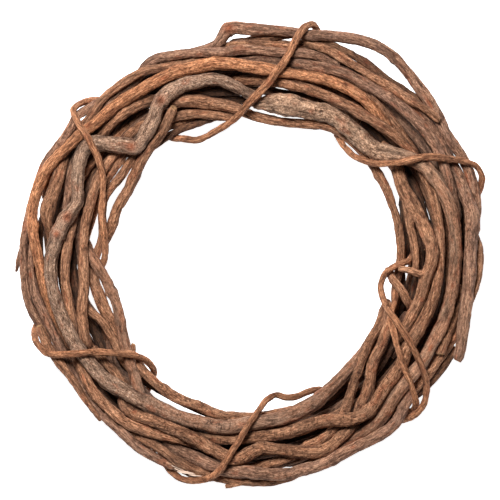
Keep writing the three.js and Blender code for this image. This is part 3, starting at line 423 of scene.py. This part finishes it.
def swell(along, turn, rows):
    """The extra height of all the swellings at points of a strand."""
    extra = np.zeros(np.broadcast(along, turn).shape)
    for at, width, ring, side, bump in rows:
        near = np.exp(-((along - at) / width) ** 2)
        facing = np.exp(-((np.angle(np.exp(1j * (turn - side)))) / BUMP_TURN) ** 2)
        extra += near * (ring + bump * facing)
    return extra


# %% [markdown]
# ## Growing a strand
#
# A strand is a tube with a ring of points at every millimetre or so. Each ring stands square
# to the line, and is turned as little as possible from the one before, so the bark isn't
# wrung.

# %% Rings that don't wring the bark
def square_frames(line):
    """The way along the line at each point, and two directions across it, carried without twist."""
    along = np.gradient(line, axis=0)
    along /= np.linalg.norm(along, axis=1)[:, None]
    side = np.cross(along[0], [0, 0, 1.0] if abs(along[0][2]) < 0.9 else [1.0, 0, 0])
    sides = []
    for heading in along:
        side = side - (side @ heading) * heading
        side = side / np.linalg.norm(side)
        sides.append(side)
    sides = np.array(sides)
    return along, sides, np.cross(along, sides)


# %% How thick a strand is along its length
FULLNESS = 1.035              # the round vine against the six-sided ring's corners
SLOW, QUICK = (0.06, 19.0), (0.04, 7.0)    # shares of the radius, and over how many mm
FLARE_LENGTH = 6.0            # mm over which a branch widens toward its stem
END_TAPER = (0.24, 1.3)       # share of the radius lost at a cut end, and over how many mm


def thickness(run, radii, flare, seed):
    """A strand's radius in mm at each ring: uneven, wider at a fork and narrower at a cut."""
    radius = radii / MM * FULLNESS
    slow, quick = uneven_along(run, SLOW[1], seed), uneven_along(run, QUICK[1], seed + 9)
    radius = radius * (1 + SLOW[0] * slow + QUICK[0] * quick)
    radius = radius * (1 + flare * np.exp(-(run[-1] - run) / FLARE_LENGTH))
    for from_end in (run, run[-1] - run):
        radius = radius * (1 - END_TAPER[0] * np.exp(-(from_end / END_TAPER[1]) ** 2))
    return radius


# %% [markdown]
# Each end is a real end: the vines were cut with shears, so the rim is slightly rounded, the
# face is slanted, and the pale wood shows. One cut at the upper left faces the viewer.

# %% The slant of the cuts
CUT_SLANT = (0.08, 0.3)       # how far a cut's rim leans along the vine, in radii
UPWARD_SLANT = 0.75           # the same for the cut that faces the viewer
SLANT_REACH = 1.3             # how far from the end the slant is felt, in radii


def cut_slant(run, reach, radius, turn, side, across, upward, rng):
    """How far each point moves along the vine because the cut at its end is slanted."""
    moved = np.zeros_like(reach)
    for end in (0, 1):
        slant, toward = rng.uniform(*CUT_SLANT), rng.uniform(0, 2 * math.pi)
        if upward == end:
            slant, toward = UPWARD_SLANT, math.atan2(-across[-end][2], -side[-end][2])
        from_end = (run[-1] - run if end else run)[:, None] / (SLANT_REACH * radius.mean())
        fade = np.clip(1 - from_end, 0, 1) ** 2
        moved += (1 if end else -1) * slant * reach * np.cos(turn[None, :] - toward) * fade
    return moved


# %% Faces of a tube and its cut ends
# Each step of a cut end: mm beyond the last ring, and its share of the radius.
CUT_STEPS = [(0.35, 0.965), (0.62, 0.88), (0.70, 0.74), (0.66, 0.5), (0.60, 0.24)]
CUT_MIDDLE = 0.45 * MM        # how far the middle of the face lies beyond the last ring
CUT_UNEVEN = 0.12 * MM
BARK_SHARE = 0.95             # steps wider than this are bark, and the others cut wood
RIM_SHARE = 0.8               # steps wider than this belong to the rim, which is even


def tube_faces(rings, sides):
    a = np.arange((rings - 1) * sides).reshape(rings - 1, sides)
    b = np.roll(a, -1, axis=1)
    return np.stack([a, b, b + sides, a + sides], -1).reshape(-1, 4).tolist()


def cut_end(rim, outward, rim_start, start, end, rng):
    """Faces, points and cut wood of the rounded rim and slanted face at one end of a strand."""
    sides, middle = len(rim), rim.mean(0)
    rows, shown, faces = [], [], []
    previous = rim_start + np.arange(sides)
    for step, (beyond, share) in enumerate(CUT_STEPS):
        ring = middle + (rim - middle) * share + outward * beyond * MM
        ring = ring + outward * CUT_UNEVEN * rng.uniform(-1, 1, sides)[:, None] * (share < RIM_SHARE)
        rows.append(ring)
        shown.append(np.full(sides, 0.0 if share > BARK_SHARE else 1.0))
        current = start + step * sides + np.arange(sides)
        for i in range(sides):
            j = (i + 1) % sides
            faces.append([previous[i], previous[j], current[j], current[i]])
        previous = current
    rows.append(middle[None] + outward * CUT_MIDDLE)
    shown.append([1.0])
    tip = start + len(CUT_STEPS) * sides
    faces += [[previous[i], previous[(i + 1) % sides], tip] for i in range(sides)]
    faces = [[int(i) for i in (face if end else face[::-1])] for face in faces]
    return faces, np.vstack(rows), np.concatenate(shown)


# %% Close both ends of a strand
def end_grain(turn, radius, at):
    """Where the points of a cut end lie in the wood, for the material's patterns."""
    share = np.repeat([share for _, share in CUT_STEPS], len(turn)) * radius
    facing = np.tile(turn, len(CUT_STEPS))
    flat = np.column_stack([share * np.cos(facing), share * np.sin(facing), np.full(len(share), at)])
    return np.vstack([flat, [[0, 0, at]]])


def close_ends(rings, along, turn, run, radius, rng):
    """Points, faces and surface values of the two cut ends of a tube of rings."""
    points, faces, values = [], [], {"grain": [], "fissure": [], "cut": []}
    start = rings.shape[0] * rings.shape[1]
    for end, last in ((0, 0), (1, len(run) - 1)):
        outward = along[last] * (1 if end else -1)
        more, face_points, shown = cut_end(rings[last], outward, last * len(turn), start, end, rng)
        start += len(face_points)
        points.append(face_points)
        faces += more
        values["grain"].append(end_grain(turn, radius, run[last]))
        values["fissure"].append(np.zeros(len(face_points)))
        values["cut"].append(shown)
    return points, faces, values


# %% One strand as points and faces
WANDER = 0.3 * MM             # how far a strand strays from its solid's middle
WANDER_OVER = (13.0, 15.0)    # mm over which it strays, in its two directions
SPIRAL = 0.5 / 40             # most that the bark winds round the vine, in radians per mm
OWN_PATTERN = 37.0            # mm between the stretches of pattern that two strands use
THINNEST_FULL = 1.5           # mm of radius below which a strand's relief is made shallower


def swollen(round_x, round_y, along, seed):
    """Uneven lumps of about 1 for the bark round a rubbed or broken joint."""
    spot = np.stack([round_x, round_y, along / 2.5], axis=-1)
    return 0.8 + 1.1 * uneven(spot * 1.6, seed + 7)


def strand_mesh(line, size, seed, spacing, sides, rough, joints, upward=None, flare=0.0, budding=1.0):
    """Points, faces and surface values of one strand of vine."""
    rng = np.random.default_rng(seed)
    points, radii, run = even_points(line, size, spacing)
    along, side, across = square_frames(points)
    run = run / MM
    radius = thickness(run, radii, flare, seed)
    aside, up = uneven_along(run, WANDER_OVER[0], seed + 5), uneven_along(run, WANDER_OVER[1], seed + 6)
    points = points + WANDER * (aside[:, None] * side + up[:, None] * across)
    old_buds = buds(run[-1], radius.mean(), rng)
    turn = np.arange(sides) * 2 * math.pi / sides
    bark_turn = turn[None, :] + rng.uniform(-SPIRAL, SPIRAL) * run[:, None]
    round_x, round_y = np.cos(bark_turn), np.sin(bark_turn)
    grid_run = np.repeat(run[:, None], sides, axis=1)
    high, deep = relief(round_x, round_y, grid_run + OWN_PATTERN * seed, radius.mean(),
                        rough(points)[:, None], seed)
    high = high + budding * swell(grid_run, turn[None, :], old_buds)
    high = high + joints(points)[:, None] * swollen(round_x, round_y, grid_run, seed)
    shallower = min(1.0, (radius.mean() / THINNEST_FULL) ** 2)
    reach = (radius[:, None] + high * shallower) * MM
    moved = cut_slant(run, reach, radius, turn, side, across, upward, rng)
    outward = np.cos(turn)[None, :, None] * side[:, None] + np.sin(turn)[None, :, None] * across[:, None]
    rings = points[:, None] + reach[..., None] * outward + moved[..., None] * along[:, None]
    skin = np.stack([radius.mean() * round_x, radius.mean() * round_y, grid_run], -1)
    values = {"grain": skin.reshape(-1, 3), "fissure": deep.ravel(), "cut": np.zeros(deep.size)}
    end_points, end_faces, end_values = close_ends(rings, along, turn, run, radius.mean(), rng)
    points = np.vstack([rings.reshape(-1, 3), *end_points])
    points[:, 2] = np.maximum(points[:, 2], 0)    # nothing sinks into the table
    values = {key: np.concatenate([rows, *end_values[key]]) for key, rows in values.items()}
    return points, tube_faces(len(run), sides) + end_faces, values


def nowhere(points):
    return np.zeros(len(points))


trial = strand_mesh(*LINES["binder_left"][0], 1, 5 * MM, RING, rough=nowhere, joints=nowhere)
print(f"a coarse trial strand has {len(trial[0])} points and {len(trial[1])} faces")

# %% [markdown]
# ## Shader maths in plain expressions
#
# A material is a graph of small nodes. Wiring each of them by hand hides the idea, so one
# class wraps a socket and lets it be added, multiplied and subtracted like a number.
# Colours are blended with Mix nodes, and vectors stretched with Vector Math.

# %% A socket that takes part in sums
class Flow:
    """One output of a node in a material."""

    def __init__(self, tree, socket=None):
        self.tree, self.socket = tree, socket

    def node(self, kind, settings=None, sockets=None, out=0):
        """Adds a node with its settings, then its sockets' values or links, and gives one output."""
        made = self.tree.nodes.new(kind)
        for name, value in (settings or {}).items():
            setattr(made, name, value)
        for name, value in (sockets or {}).items():
            if isinstance(value, Flow):
                self.tree.links.new(value.socket, made.inputs[name])
            else:
                made.inputs[name].default_value = value
        return Flow(self.tree, made.outputs[out])

    def maths(self, operation, a, b):
        return self.node("ShaderNodeMath", {"operation": operation}, {0: a, 1: b})

    def __add__(self, other):
        return self.maths("ADD", self, other)

    def __sub__(self, other):
        return self.maths("SUBTRACT", self, other)

    def __rsub__(self, other):
        return self.maths("SUBTRACT", other, self)

    def __mul__(self, other):
        return self.maths("MULTIPLY", self, other)

    def size(self):
        return self.maths("ABSOLUTE", self, 0.0)

    def at_least(self, low):
        return self.maths("MAXIMUM", self, low)

    __radd__ = __add__
    __rmul__ = __mul__

    def attribute(self, name, out="Fac"):
        return self.node("ShaderNodeAttribute", {"attribute_name": name}, out=out)

    def stretched(self, amounts):
        return self.node("ShaderNodeVectorMath", {"operation": "MULTIPLY"}, {0: self, 1: amounts})

    def mottle(self, amounts, detail=3.0, rough=0.6):
        """Random values at this vector stretched by the amounts."""
        return self.node("ShaderNodeTexNoise", {}, {"Vector": self.stretched(amounts), "Scale": 1.0,
                                                    "Detail": detail, "Roughness": rough})

    def between(self, low, high):
        """0 below low, 1 above high, and smooth between them."""
        return self.node("ShaderNodeMapRange", {"interpolation_type": "SMOOTHSTEP"},
                         {"Value": self, "From Min": low, "From Max": high})


# %% Colours
def mixed(start, end, share):
    """The colour that share of the way from start to end."""
    return share.node("ShaderNodeMix", {"data_type": "RGBA"}, {0: share, 6: start, 7: end}, out=2)


def scaled(colour, amount):
    """A colour made lighter or darker by a value."""
    grey = amount.node("ShaderNodeCombineXYZ", {}, {0: amount, 1: amount, 2: amount})
    return amount.node("ShaderNodeVectorMath", {"operation": "MULTIPLY"}, {0: colour, 1: grey})


def paint(red, green, blue):
    """A colour picked on screen, from 0 to 255, as the amounts of light that Blender mixes."""
    shares = [c / 255 for c in (red, green, blue)]
    return tuple(((c + 0.055) / 1.055) ** 2.4 if c > 0.04 else c / 12.92 for c in shares) + (1.0,)


print("a mid bark brown is", [round(c, 3) for c in paint(150, 112, 88)[:3]])

# %% [markdown]
# ## Bark
#
# Seven barks show in the wreath, from a bright orange inner bark, where the outer skin has
# peeled, to a grey mauve skin and a pale speckled one. They share one recipe: a body colour
# with long fibres in a lighter and a darker tone, a thin weathered film in patches, dark
# fissures, and red-brown rubbed places. Painting seven textures would repeat it seven times,
# so one function takes the colours of each.
#
# The patterns come first. Each is noise in the vine's own directions, two across it and one
# along it, in bumps per millimetre. A small third number draws the noise out into fibres.

# %% Patterns in bark
MARKINGS = ("tone", "warm", "fissure", "cut", "scar", "fresh", "cracked", "torn")


def bark_patterns(grain, cracked, fibre_size):
    """Noise patterns of about 0 to 1, from hair lines to broad patches."""
    k = fibre_size
    hairs = grain.mottle((0.8 / k, 0.8 / k, 0.07), 2.0, 0.5)
    return SimpleNamespace(
        fibres=grain.mottle((0.9 / k, 0.9 / k, 0.12), 4.0, 0.7),
        fine=grain.mottle((1.9 / k, 1.9 / k, 0.5), 3.0, 0.75),
        lines=1 - (hairs - 0.5).size().between(0.004, 0.028),
        grit=grain.mottle((0.62, 0.62, 0.5), 4.0, 0.68),
        crumbs=grain.mottle((1.3, 1.3, 1.15), 3.0, 0.7),
        patches=grain.mottle((0.16, 0.16, 0.05), 3.0, 0.6),
        rust=grain.mottle((0.21, 0.21, 0.09), 2.0, 0.55).between(0.56, 0.68),
        splits=grain.mottle((0.3, 0.3, 1.2), 2.0, 0.5).between(0.58, 0.68) * cracked,
    )


# %% Colour of the skin and of cut wood
PEELED, RUST, SCAR = paint(166, 112, 82), paint(150, 86, 58), paint(156, 86, 56)
PALE_SPECK, TORN_WOOD = paint(222, 200, 180), paint(242, 212, 190)
PALE_WOOD, DARK_WOOD, WOOD_CRACK = paint(216, 170, 124), paint(150, 104, 70), paint(46, 28, 20)


def skin_colour(has, marks, strength, body, light, dark, film, film_amount, grainy):
    """The bark's colour before its tone, from the body colour up to the darkest cracks."""
    specks = (1 - 0.75 * marks.fresh) * grainy
    colour = mixed(body, light, strength.between(0.48, 0.62))
    colour = mixed(colour, dark, (1 - strength).between(0.5, 0.62) * 0.85)
    colour = mixed(colour, PEELED, marks.fresh * 0.8)
    colour = mixed(colour, film, has.patches.between(0.42, 0.66) * film_amount)
    colour = mixed(colour, RUST, has.rust * 0.5)
    colour = mixed(colour, light, marks.warm.between(0.0, 1.0) * 0.5)
    pale = has.crumbs.between(0.57, 0.68) * has.grit.between(0.42, 0.6)
    colour = mixed(colour, PALE_SPECK, pale * specks)
    colour = mixed(colour, dark, has.grit.between(0.58, 0.66) * (0.12 + 0.55 * specks))
    colour = mixed(colour, SCAR, marks.scar * 0.9)
    colour = mixed(colour, dark, has.lines * (0.55 - 0.3 * specks))
    colour = mixed(colour, dark, marks.fissure * 0.85)
    return mixed(colour, dark, has.splits * 0.8)


def wood_colour(grain, tone):
    """The pale end grain of a cut, with dark cracks."""
    rays = grain.mottle((0.8, 0.8, 0.3), 3.0, 0.6)
    wood = mixed(PALE_WOOD, DARK_WOOD, grain.mottle((1.6, 1.6, 0.4)).between(0.38, 0.62))
    wood = mixed(wood, WOOD_CRACK, rays.between(0.56, 0.64) * 0.85)
    return scaled(wood, tone.at_least(0.85))


# %% One recipe for bark
BUMP_HEIGHT = 0.9 * MM
SHINE = 0.28


def bark(name, body, light, dark, film, film_amount, fibre_size=1.0, grainy=0.0):
    """A bark material: its body colour, lighter and darker fibres, and a weathered film."""
    material = bpy.data.materials.new(name)
    material.use_nodes = True
    tree = material.node_tree
    shader = tree.nodes["Principled BSDF"]
    start = Flow(tree)
    grain = start.attribute("grain", "Vector")
    marks = SimpleNamespace(**{key: start.attribute(key) for key in MARKINGS})
    has = bark_patterns(grain, marks.cracked, fibre_size)
    strength = has.fibres * (0.5 - 0.36 * grainy) + has.fine * 0.5 + has.crumbs * 0.36 * grainy
    colour = skin_colour(has, marks, strength, body, light, dark, film, film_amount, grainy)
    uneven_tone = (2.5 * has.fine + 1.3 * has.grit - 0.9).at_least(0.28)
    # The tone carries the painted shade of the crowded places and of the deep and back vines.
    colour = scaled(colour, marks.tone * uneven_tone)
    colour = mixed(colour, wood_colour(grain, marks.tone), marks.cut)
    colour = mixed(colour, TORN_WOOD, marks.torn)
    tree.links.new(colour.socket, shader.inputs["Base Color"])
    rough = 0.94 - 0.16 * strength
    tree.links.new(rough.socket, shader.inputs["Roughness"])
    height = (has.fibres * 0.6 + has.fine * 0.4 + has.crumbs * 0.5 + has.grit * 0.6
              - has.splits * 0.3 - has.lines * 0.2)
    bump = start.node("ShaderNodeBump", {}, {"Strength": 1.0, "Distance": BUMP_HEIGHT, "Height": height})
    tree.links.new(bump.socket, shader.inputs["Normal"])
    shader.inputs["Specular IOR Level"].default_value = SHINE
    return material


# %% The seven barks
BARKS = {
    "orange_bark": bark("bright orange bark", body=paint(200, 131, 89), light=paint(236, 172, 126),
                        dark=paint(84, 46, 28), film=paint(164, 114, 84), film_amount=0.4),
    "brown_bark": bark("brown bark", body=paint(166, 114, 82), light=paint(206, 154, 118),
                       dark=paint(72, 42, 28), film=paint(150, 112, 88), film_amount=0.5),
    "mauve_bark": bark("grey mauve bark", body=paint(152, 109, 85), light=paint(190, 147, 118),
                       dark=paint(66, 41, 29), film=paint(148, 114, 96), film_amount=0.6),
    "grey_bark": bark("grey flaky bark", body=paint(160, 122, 96), light=paint(206, 168, 138),
                      dark=paint(58, 38, 28), film=paint(162, 130, 106), film_amount=0.6,
                      fibre_size=1.6, grainy=0.8),
    "speckled_bark": bark("pale speckled bark", body=paint(160, 122, 98), light=paint(206, 170, 142),
                          dark=paint(58, 38, 28), film=paint(164, 132, 110), film_amount=0.6,
                          fibre_size=1.2, grainy=1.0),
    # Painted shade: the dark bark of the deep vines is the brown bark made darker.
    "dark_bark": bark("dark bark", body=paint(112, 76, 54), light=paint(140, 98, 70),
                      dark=paint(46, 28, 20), film=paint(96, 72, 56), film_amount=0.5),
    "binder_bark": bark("binding vine bark", body=paint(190, 127, 89), light=paint(226, 166, 124),
                        dark=paint(84, 48, 30), film=paint(156, 112, 86), film_amount=0.4,
                        fibre_size=0.8),
}
print(f"{len(BARKS)} barks")

# %% [markdown]
# ## Where each vine differs
#
# No two vines in the bundle dried to the same colour, and a few carry marks that the eye
# finds at once: rubbed joints, an orange knot, bark that has split across. Each is placed as
# an angle clockwise from the top of the ring and a distance from the ring's middle, because
# that is how one would point at it. The rough vine at the upper right is old wood with
# flaking bark, so its relief is much stronger.

# %% Places on the ring
FRONT_ABOVE = 21 * MM         # bark higher than this belongs to the front of the ring


def angle_on_ring(points):
    """Degrees clockwise from the top of the ring."""
    away = points[:, :2] - RING_CENTRE
    return np.degrees(np.arctan2(away[:, 0], away[:, 1])) % 360


def spot_on_ring(angle, distance):
    turn = math.radians(angle)
    return RING_CENTRE + distance * MM * np.array([math.sin(turn), math.cos(turn)])


def spot_share(points, angle, distance, width):
    """1 at a spot on the front of the ring, falling to 0 within a width or two of it."""
    apart = np.linalg.norm(points[:, :2] - spot_on_ring(angle, distance), axis=1) / MM
    return np.exp(-(apart / width) ** 2) * (points[:, 2] > FRONT_ABOVE)


print(f"the spot at 90 degrees and 120 mm is {spot_on_ring(90, 120) / MM} mm")

# %% Marks on the bark
SPECKLED, FLAKY, KNOTTED = "forked_speckled_vine", "flaky_vine", "knotted_vine"
MARKS = {             # rubbed or broken places: angle, distance from the middle and width in mm
    SPECKLED: [(282.1, 117.7, 3.2), (276.5, 122.8, 2.4), (330.5, 113.5, 3.0), (312.9, 101.6, 2.6)],
    "outer_loop_vine": [(354.8, 144.8, 3.0)],
    "deep_outer_vine": [(31.3, 143.9, 2.5)],
}
LIGHTER = {           # an orange knot and a pale twig end, placed in the same way
    KNOTTED: (80, 145, 2.8), "forked_right_vine": (95.5, 97, 5.0),
}
KNOB_RISE = 0.75      # mm that the bark stands out round a mark
CRACKED = {           # stretches where the bark has split across: from angle, to angle
    "lower_right_vine": (120, 220), "brown_cross_vine": (130, 200), "lower_inner_vine": (125, 175),
    SPECKLED: (186, 204), "inner_long_vine": (190, 215),
}
UPWARD_CUTS = {"inner_cut_vine": 1}        # the end of a strand that faces the viewer
FLAKY_UNTIL = (50, 62)        # angles between which the flaky bark turns smooth
PEELED_BEFORE = (190, 232)    # angles between which the speckled skin begins


def knobs(name, points):
    """How far a joint swells at the marks of a vine, in mm, at each point of its middle line."""
    marks = MARKS.get(name, []) + ([LIGHTER[name]] if name == KNOTTED else [])
    return KNOB_RISE * sum((spot_share(points, *mark) for mark in marks), np.zeros(len(points)))


def roughness(name, points):
    """From 0 for smooth bark to more than 1 for crumbling bark, at each point of a vine."""
    if name == FLAKY:
        return 1.7 - 1.55 * smooth_step(angle_on_ring(points), *FLAKY_UNTIL)
    return np.full(len(points), 0.45 if name == SPECKLED else 0.15)


def cracks(name, points):
    """How much the bark has split across, at each point of a vine."""
    start, end = CRACKED.get(name, (0, 0))
    angle = angle_on_ring(points)
    return np.where((angle > start) & (angle < end), 1.0, 0.25)


def peeled(name, strand, points):
    """How far the grey skin has worn off to brown, at each point of one strand."""
    if name == FLAKY:
        return np.clip(1 - roughness(name, points), 0, 1)
    if name != SPECKLED:
        return np.zeros(len(points))
    if strand:
        return np.full(len(points), 0.9)
    return 0.75 - 0.75 * smooth_step(angle_on_ring(points), *PEELED_BEFORE)


# %% [markdown]
# Inside the loop that a binding vine makes at the lower left, a torn vine shows pale fibres.
# Each is a thin strand that bows up between two spots on the ring, and belongs to the torn
# vine.

# %% Torn fibres
FIBRES_OF = "left_outer_vine"
FIBRES = [            # angle and distance from the middle at both ends
    ((192.4, 142.6), (197.6, 142.4)), ((192.8, 143.6), (199.0, 142.9)), ((193.6, 142.0), (200.0, 141.8)),
    ((191.8, 143.0), (195.2, 144.2)), ((194.4, 143.3), (198.2, 144.0)),
]
FIBRE = 0.42 * MM
FIBRE_HEIGHT = 33.0 * MM
FIBRE_BOW = 1.5 * MM
FIBRE_POINTS = 6


def torn_fibres():
    """Lines and sizes of the torn fibres."""
    rows = []
    share = np.linspace(0, 1, FIBRE_POINTS)
    for (start, near), (end, far) in FIBRES:
        flat = np.array([spot_on_ring(start + (end - start) * t, near + (far - near) * t) for t in share])
        height = FIBRE_HEIGHT + FIBRE_BOW * np.sin(math.pi * share)
        rows.append((np.column_stack([flat, height]), np.full(FIBRE_POINTS, FIBRE)))
    return rows


print(f"{len(torn_fibres())} torn fibres")

# %% [markdown]
# ## Tone and painted shade
#
# The vines deep in the ring are painted darker than those in front, as painted shade, each vine
# has a tone of its own, and the tone drifts along its length. Bark that lies between other
# vines is painted nearly black, a painted shade that gives the wreath its depth.

# %% Tone and marks at every point of a vine
# Painted shade where the vines crowd round: where it begins, where it is darkest, and how dark.
SHADE_CROWDING = (0.32, 0.53)      # crowding at which bark begins to be dark, and is darkest
PAINTED_SHADE_DARKNESS = 0.93
# Painted shade: the deep and back vines are made darker than the front ones.
ZONE_PAINTED_SHADE = {"front": 1.0, "binder": 1.0, "deep": 0.5, "back": 0.6}
OWN_TONE = (0.92, 1.12)
SHADED_TAIL = ((140, 172), 98, 0.68)       # the left binder's dark tail: angles, mm within, tone


def zone(name):
    if name.startswith("binder"):
        return "binder"
    if name.startswith("back_vine"):
        return "back"
    return "deep" if name.startswith("deep_") else "front"


def tail_tone(points):
    """The darker tone where the left binding vine runs on inside the ring's shade."""
    (start, end), inside, tone = SHADED_TAIL
    angle, reach = angle_on_ring(points), np.linalg.norm(points[:, :2] - RING_CENTRE, axis=1) / MM
    return np.where((angle > start) & (angle < end) & (reach < inside), tone, 1.0)


def bark_values(name, seed, points, grain, speckled):
    """Tone with painted shade, cracks, warmth and scars at every point of a vine."""
    along = grain[:, 2]
    slow = uneven_along(along, 30.0, seed + 300)
    # Painted shade: bark where other vines crowd round is made darker.
    painted_shade = smooth_step(crowding_at(points), *SHADE_CROWDING)
    # The zone's painted shade times the vine's own tone.
    own = ZONE_PAINTED_SHADE[zone(name)] * np.random.default_rng(1000 + seed).uniform(*OWN_TONE)
    tone = own * (1 + 0.16 * slow) * (1 - PAINTED_SHADE_DARKNESS * painted_shade)
    if name == "binder_left":
        tone = tone * tail_tone(points)
    warm = np.clip(0.5 * uneven_along(along, 24.0, seed + 400), 0, 1)
    if name in LIGHTER:
        warm = np.maximum(warm, 2 * spot_share(points, *LIGHTER[name]))
    patch = uneven(grain * [0.22, 0.22, 0.12], seed + 500)
    scar = np.clip((patch - 0.62) / 0.25, 0, 1) * (0.0 if speckled else 0.8)
    for mark in MARKS.get(name, []):
        scar = np.maximum(scar, spot_share(points, *mark))
    return {"tone": tone, "cracked": cracks(name, points), "warm": warm, "scar": scar}


# %% A mesh with surface values
def as_object(name, points, faces, values, material):
    mesh = bpy.data.meshes.new(name)
    mesh.from_pydata(points.tolist(), [], faces)
    mesh.polygons.foreach_set("use_smooth", [True] * len(faces))
    for key, rows in values.items():
        vector = rows.ndim == 2
        attribute = mesh.attributes.new(key, "FLOAT_VECTOR" if vector else "FLOAT", "POINT")
        attribute.data.foreach_set("vector" if vector else "value", rows.astype(np.float32).ravel())
    mesh.materials.append(material)
    piece = bpy.data.objects.new(name, mesh)
    bpy.context.scene.collection.objects.link(piece)
    return piece


# %% [markdown]
# ## Growing the wreath
#
# The strands of a vine become one mesh, because a fork or a twig grew with its stem. The
# front vines and the binding vines get the closest rings, as they are seen best.

# %% Grow one vine and hand it to the frame
RINGS = {             # mm from ring to ring, and points in a ring
    "front": (1.0, 28), "binder": (0.7, 20), "deep": (1.6, 20), "back": (1.8, 20),
}
BRANCH_FLARE = 0.3    # how much wider a branch is where it joins its stem
BINDER_BUDDING = 0.4  # the binders' swellings against those of other vines


def grow(name, seed):
    """Makes the round vine that stands for one solid of the frame."""
    slot = frame["nodes"][name].data.materials[0].name
    spacing, sides = RINGS[zone(name)]
    own = len(LINES[name])
    lines = LINES[name] + (torn_fibres() if name == FIBRES_OF else [])
    points, faces, values = [], [], []
    for k, (line, size) in enumerate(lines):
        p, f, v = strand_mesh(
            line, size, seed * 10 + k, spacing * MM, sides,
            rough=partial(roughness, name), joints=partial(knobs, name), upward=UPWARD_CUTS.get(name),
            flare=BRANCH_FLARE if 0 < k < own else 0.0,
            budding=BINDER_BUDDING if zone(name) == "binder" else 1.0)
        shift = sum(len(q) for q in points)
        points.append(p)
        faces += [[i + shift for i in face] for face in f]
        v["fresh"] = peeled(name, k, p)
        v["torn"] = np.full(len(p), 1.0 if k >= own else 0.0)
        values.append(v)
    points = np.vstack(points)
    values = {key: np.concatenate([v[key] for v in values]) for key in values[0]}
    values |= bark_values(name, seed, points, values["grain"], slot == "speckled_bark")
    piece = as_object(name.replace("_vine", "") + "_grown", points, faces, values, BARKS[slot])
    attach(piece, "root")
    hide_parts(name)
    return piece


PIECES = {name: grow(name, seed) for seed, name in enumerate(LINES)}
triangles = sum(len(face.vertices) - 2 for piece in PIECES.values() for face in piece.data.polygons)
print(f"{len(PIECES)} vines grown, {triangles} triangles")

# %% [markdown]
# ## The table, the light and the camera
#
# The wreath lies on a plain white table and is seen from straight above. A soft light from
# the upper left gives each vine a lit side and a shaded side. The table glows a little, so it
# stays white in the picture, and a faint white surround fills the shadows.

# %% Floor
TABLE_HALF = 6.0              # metres from the middle to an edge
TABLE_GLOW = 0.95
TABLE_GAP = 0.2 * MM          # the table's top lies this far below the vines


def floor_plane(half):
    mesh = bpy.data.meshes.new("table top")
    corners = [(-half, -half, 0), (half, -half, 0), (half, half, 0), (-half, half, 0)]
    mesh.from_pydata(corners, [], [(0, 1, 2, 3)])
    piece = bpy.data.objects.new("table_top", mesh)
    bpy.context.scene.collection.objects.link(piece)
    material = bpy.data.materials.new("white table")
    material.use_nodes = True
    shader = material.node_tree.nodes["Principled BSDF"]
    shader.inputs["Base Color"].default_value = (0.9, 0.9, 0.9, 1)
    shader.inputs["Roughness"].default_value = 0.9
    shader.inputs["Emission Color"].default_value = (1, 1, 1, 1)
    shader.inputs["Emission Strength"].default_value = TABLE_GLOW
    mesh.materials.append(material)
    return piece


floor = floor_plane(TABLE_HALF)
floor.location.z = -TABLE_GAP
print(f"a table {2 * TABLE_HALF:.0f} m wide")

# %% Lights
KEY_PLACE = (-0.35, 0.75, 1.6)
KEY_SIZE = 0.6                # metres across
KEY_POWER = 49                # watts
SURROUND = 0.1


def soft_light(name, place, size, power):
    data = bpy.data.lights.new(name, "AREA")
    data.shape, data.size, data.energy = "DISK", size, power
    lamp = bpy.data.objects.new(name, data)
    lamp.location = place
    lamp.rotation_euler = (-Vector(place)).to_track_quat("-Z", "Y").to_euler()
    bpy.context.scene.collection.objects.link(lamp)


soft_light("key light", KEY_PLACE, KEY_SIZE, KEY_POWER)
world = bpy.data.worlds.new("white surround")
world.use_nodes = True
background = world.node_tree.nodes["Background"]
background.inputs["Color"].default_value = (1, 1, 1, 1)
background.inputs["Strength"].default_value = SURROUND
bpy.context.scene.world = world
bpy.context.scene.view_settings.view_transform = "Standard"
print(f"key light {np.linalg.norm(KEY_PLACE):.2f} m away")

# %% Camera
FIELD = 317.8 * MM            # width of the view at the height of the front vines
VIEW_HEIGHT = 3.0
FRONT_HEIGHT = 30 * MM
AIM = RING_CENTRE + np.array([0.64, 3.81]) * MM
camera = bpy.data.cameras.new("view from above")
camera.type = "PERSP"
camera.sensor_width = 36
camera.lens = camera.sensor_width * VIEW_HEIGHT / FIELD
viewer = bpy.data.objects.new("view_from_above", camera)
viewer.location = (AIM[0], AIM[1], VIEW_HEIGHT + FRONT_HEIGHT)
bpy.context.scene.collection.objects.link(viewer)
bpy.context.scene.camera = viewer
print(f"lens {camera.lens:.0f} mm, aimed at {AIM / MM} mm")
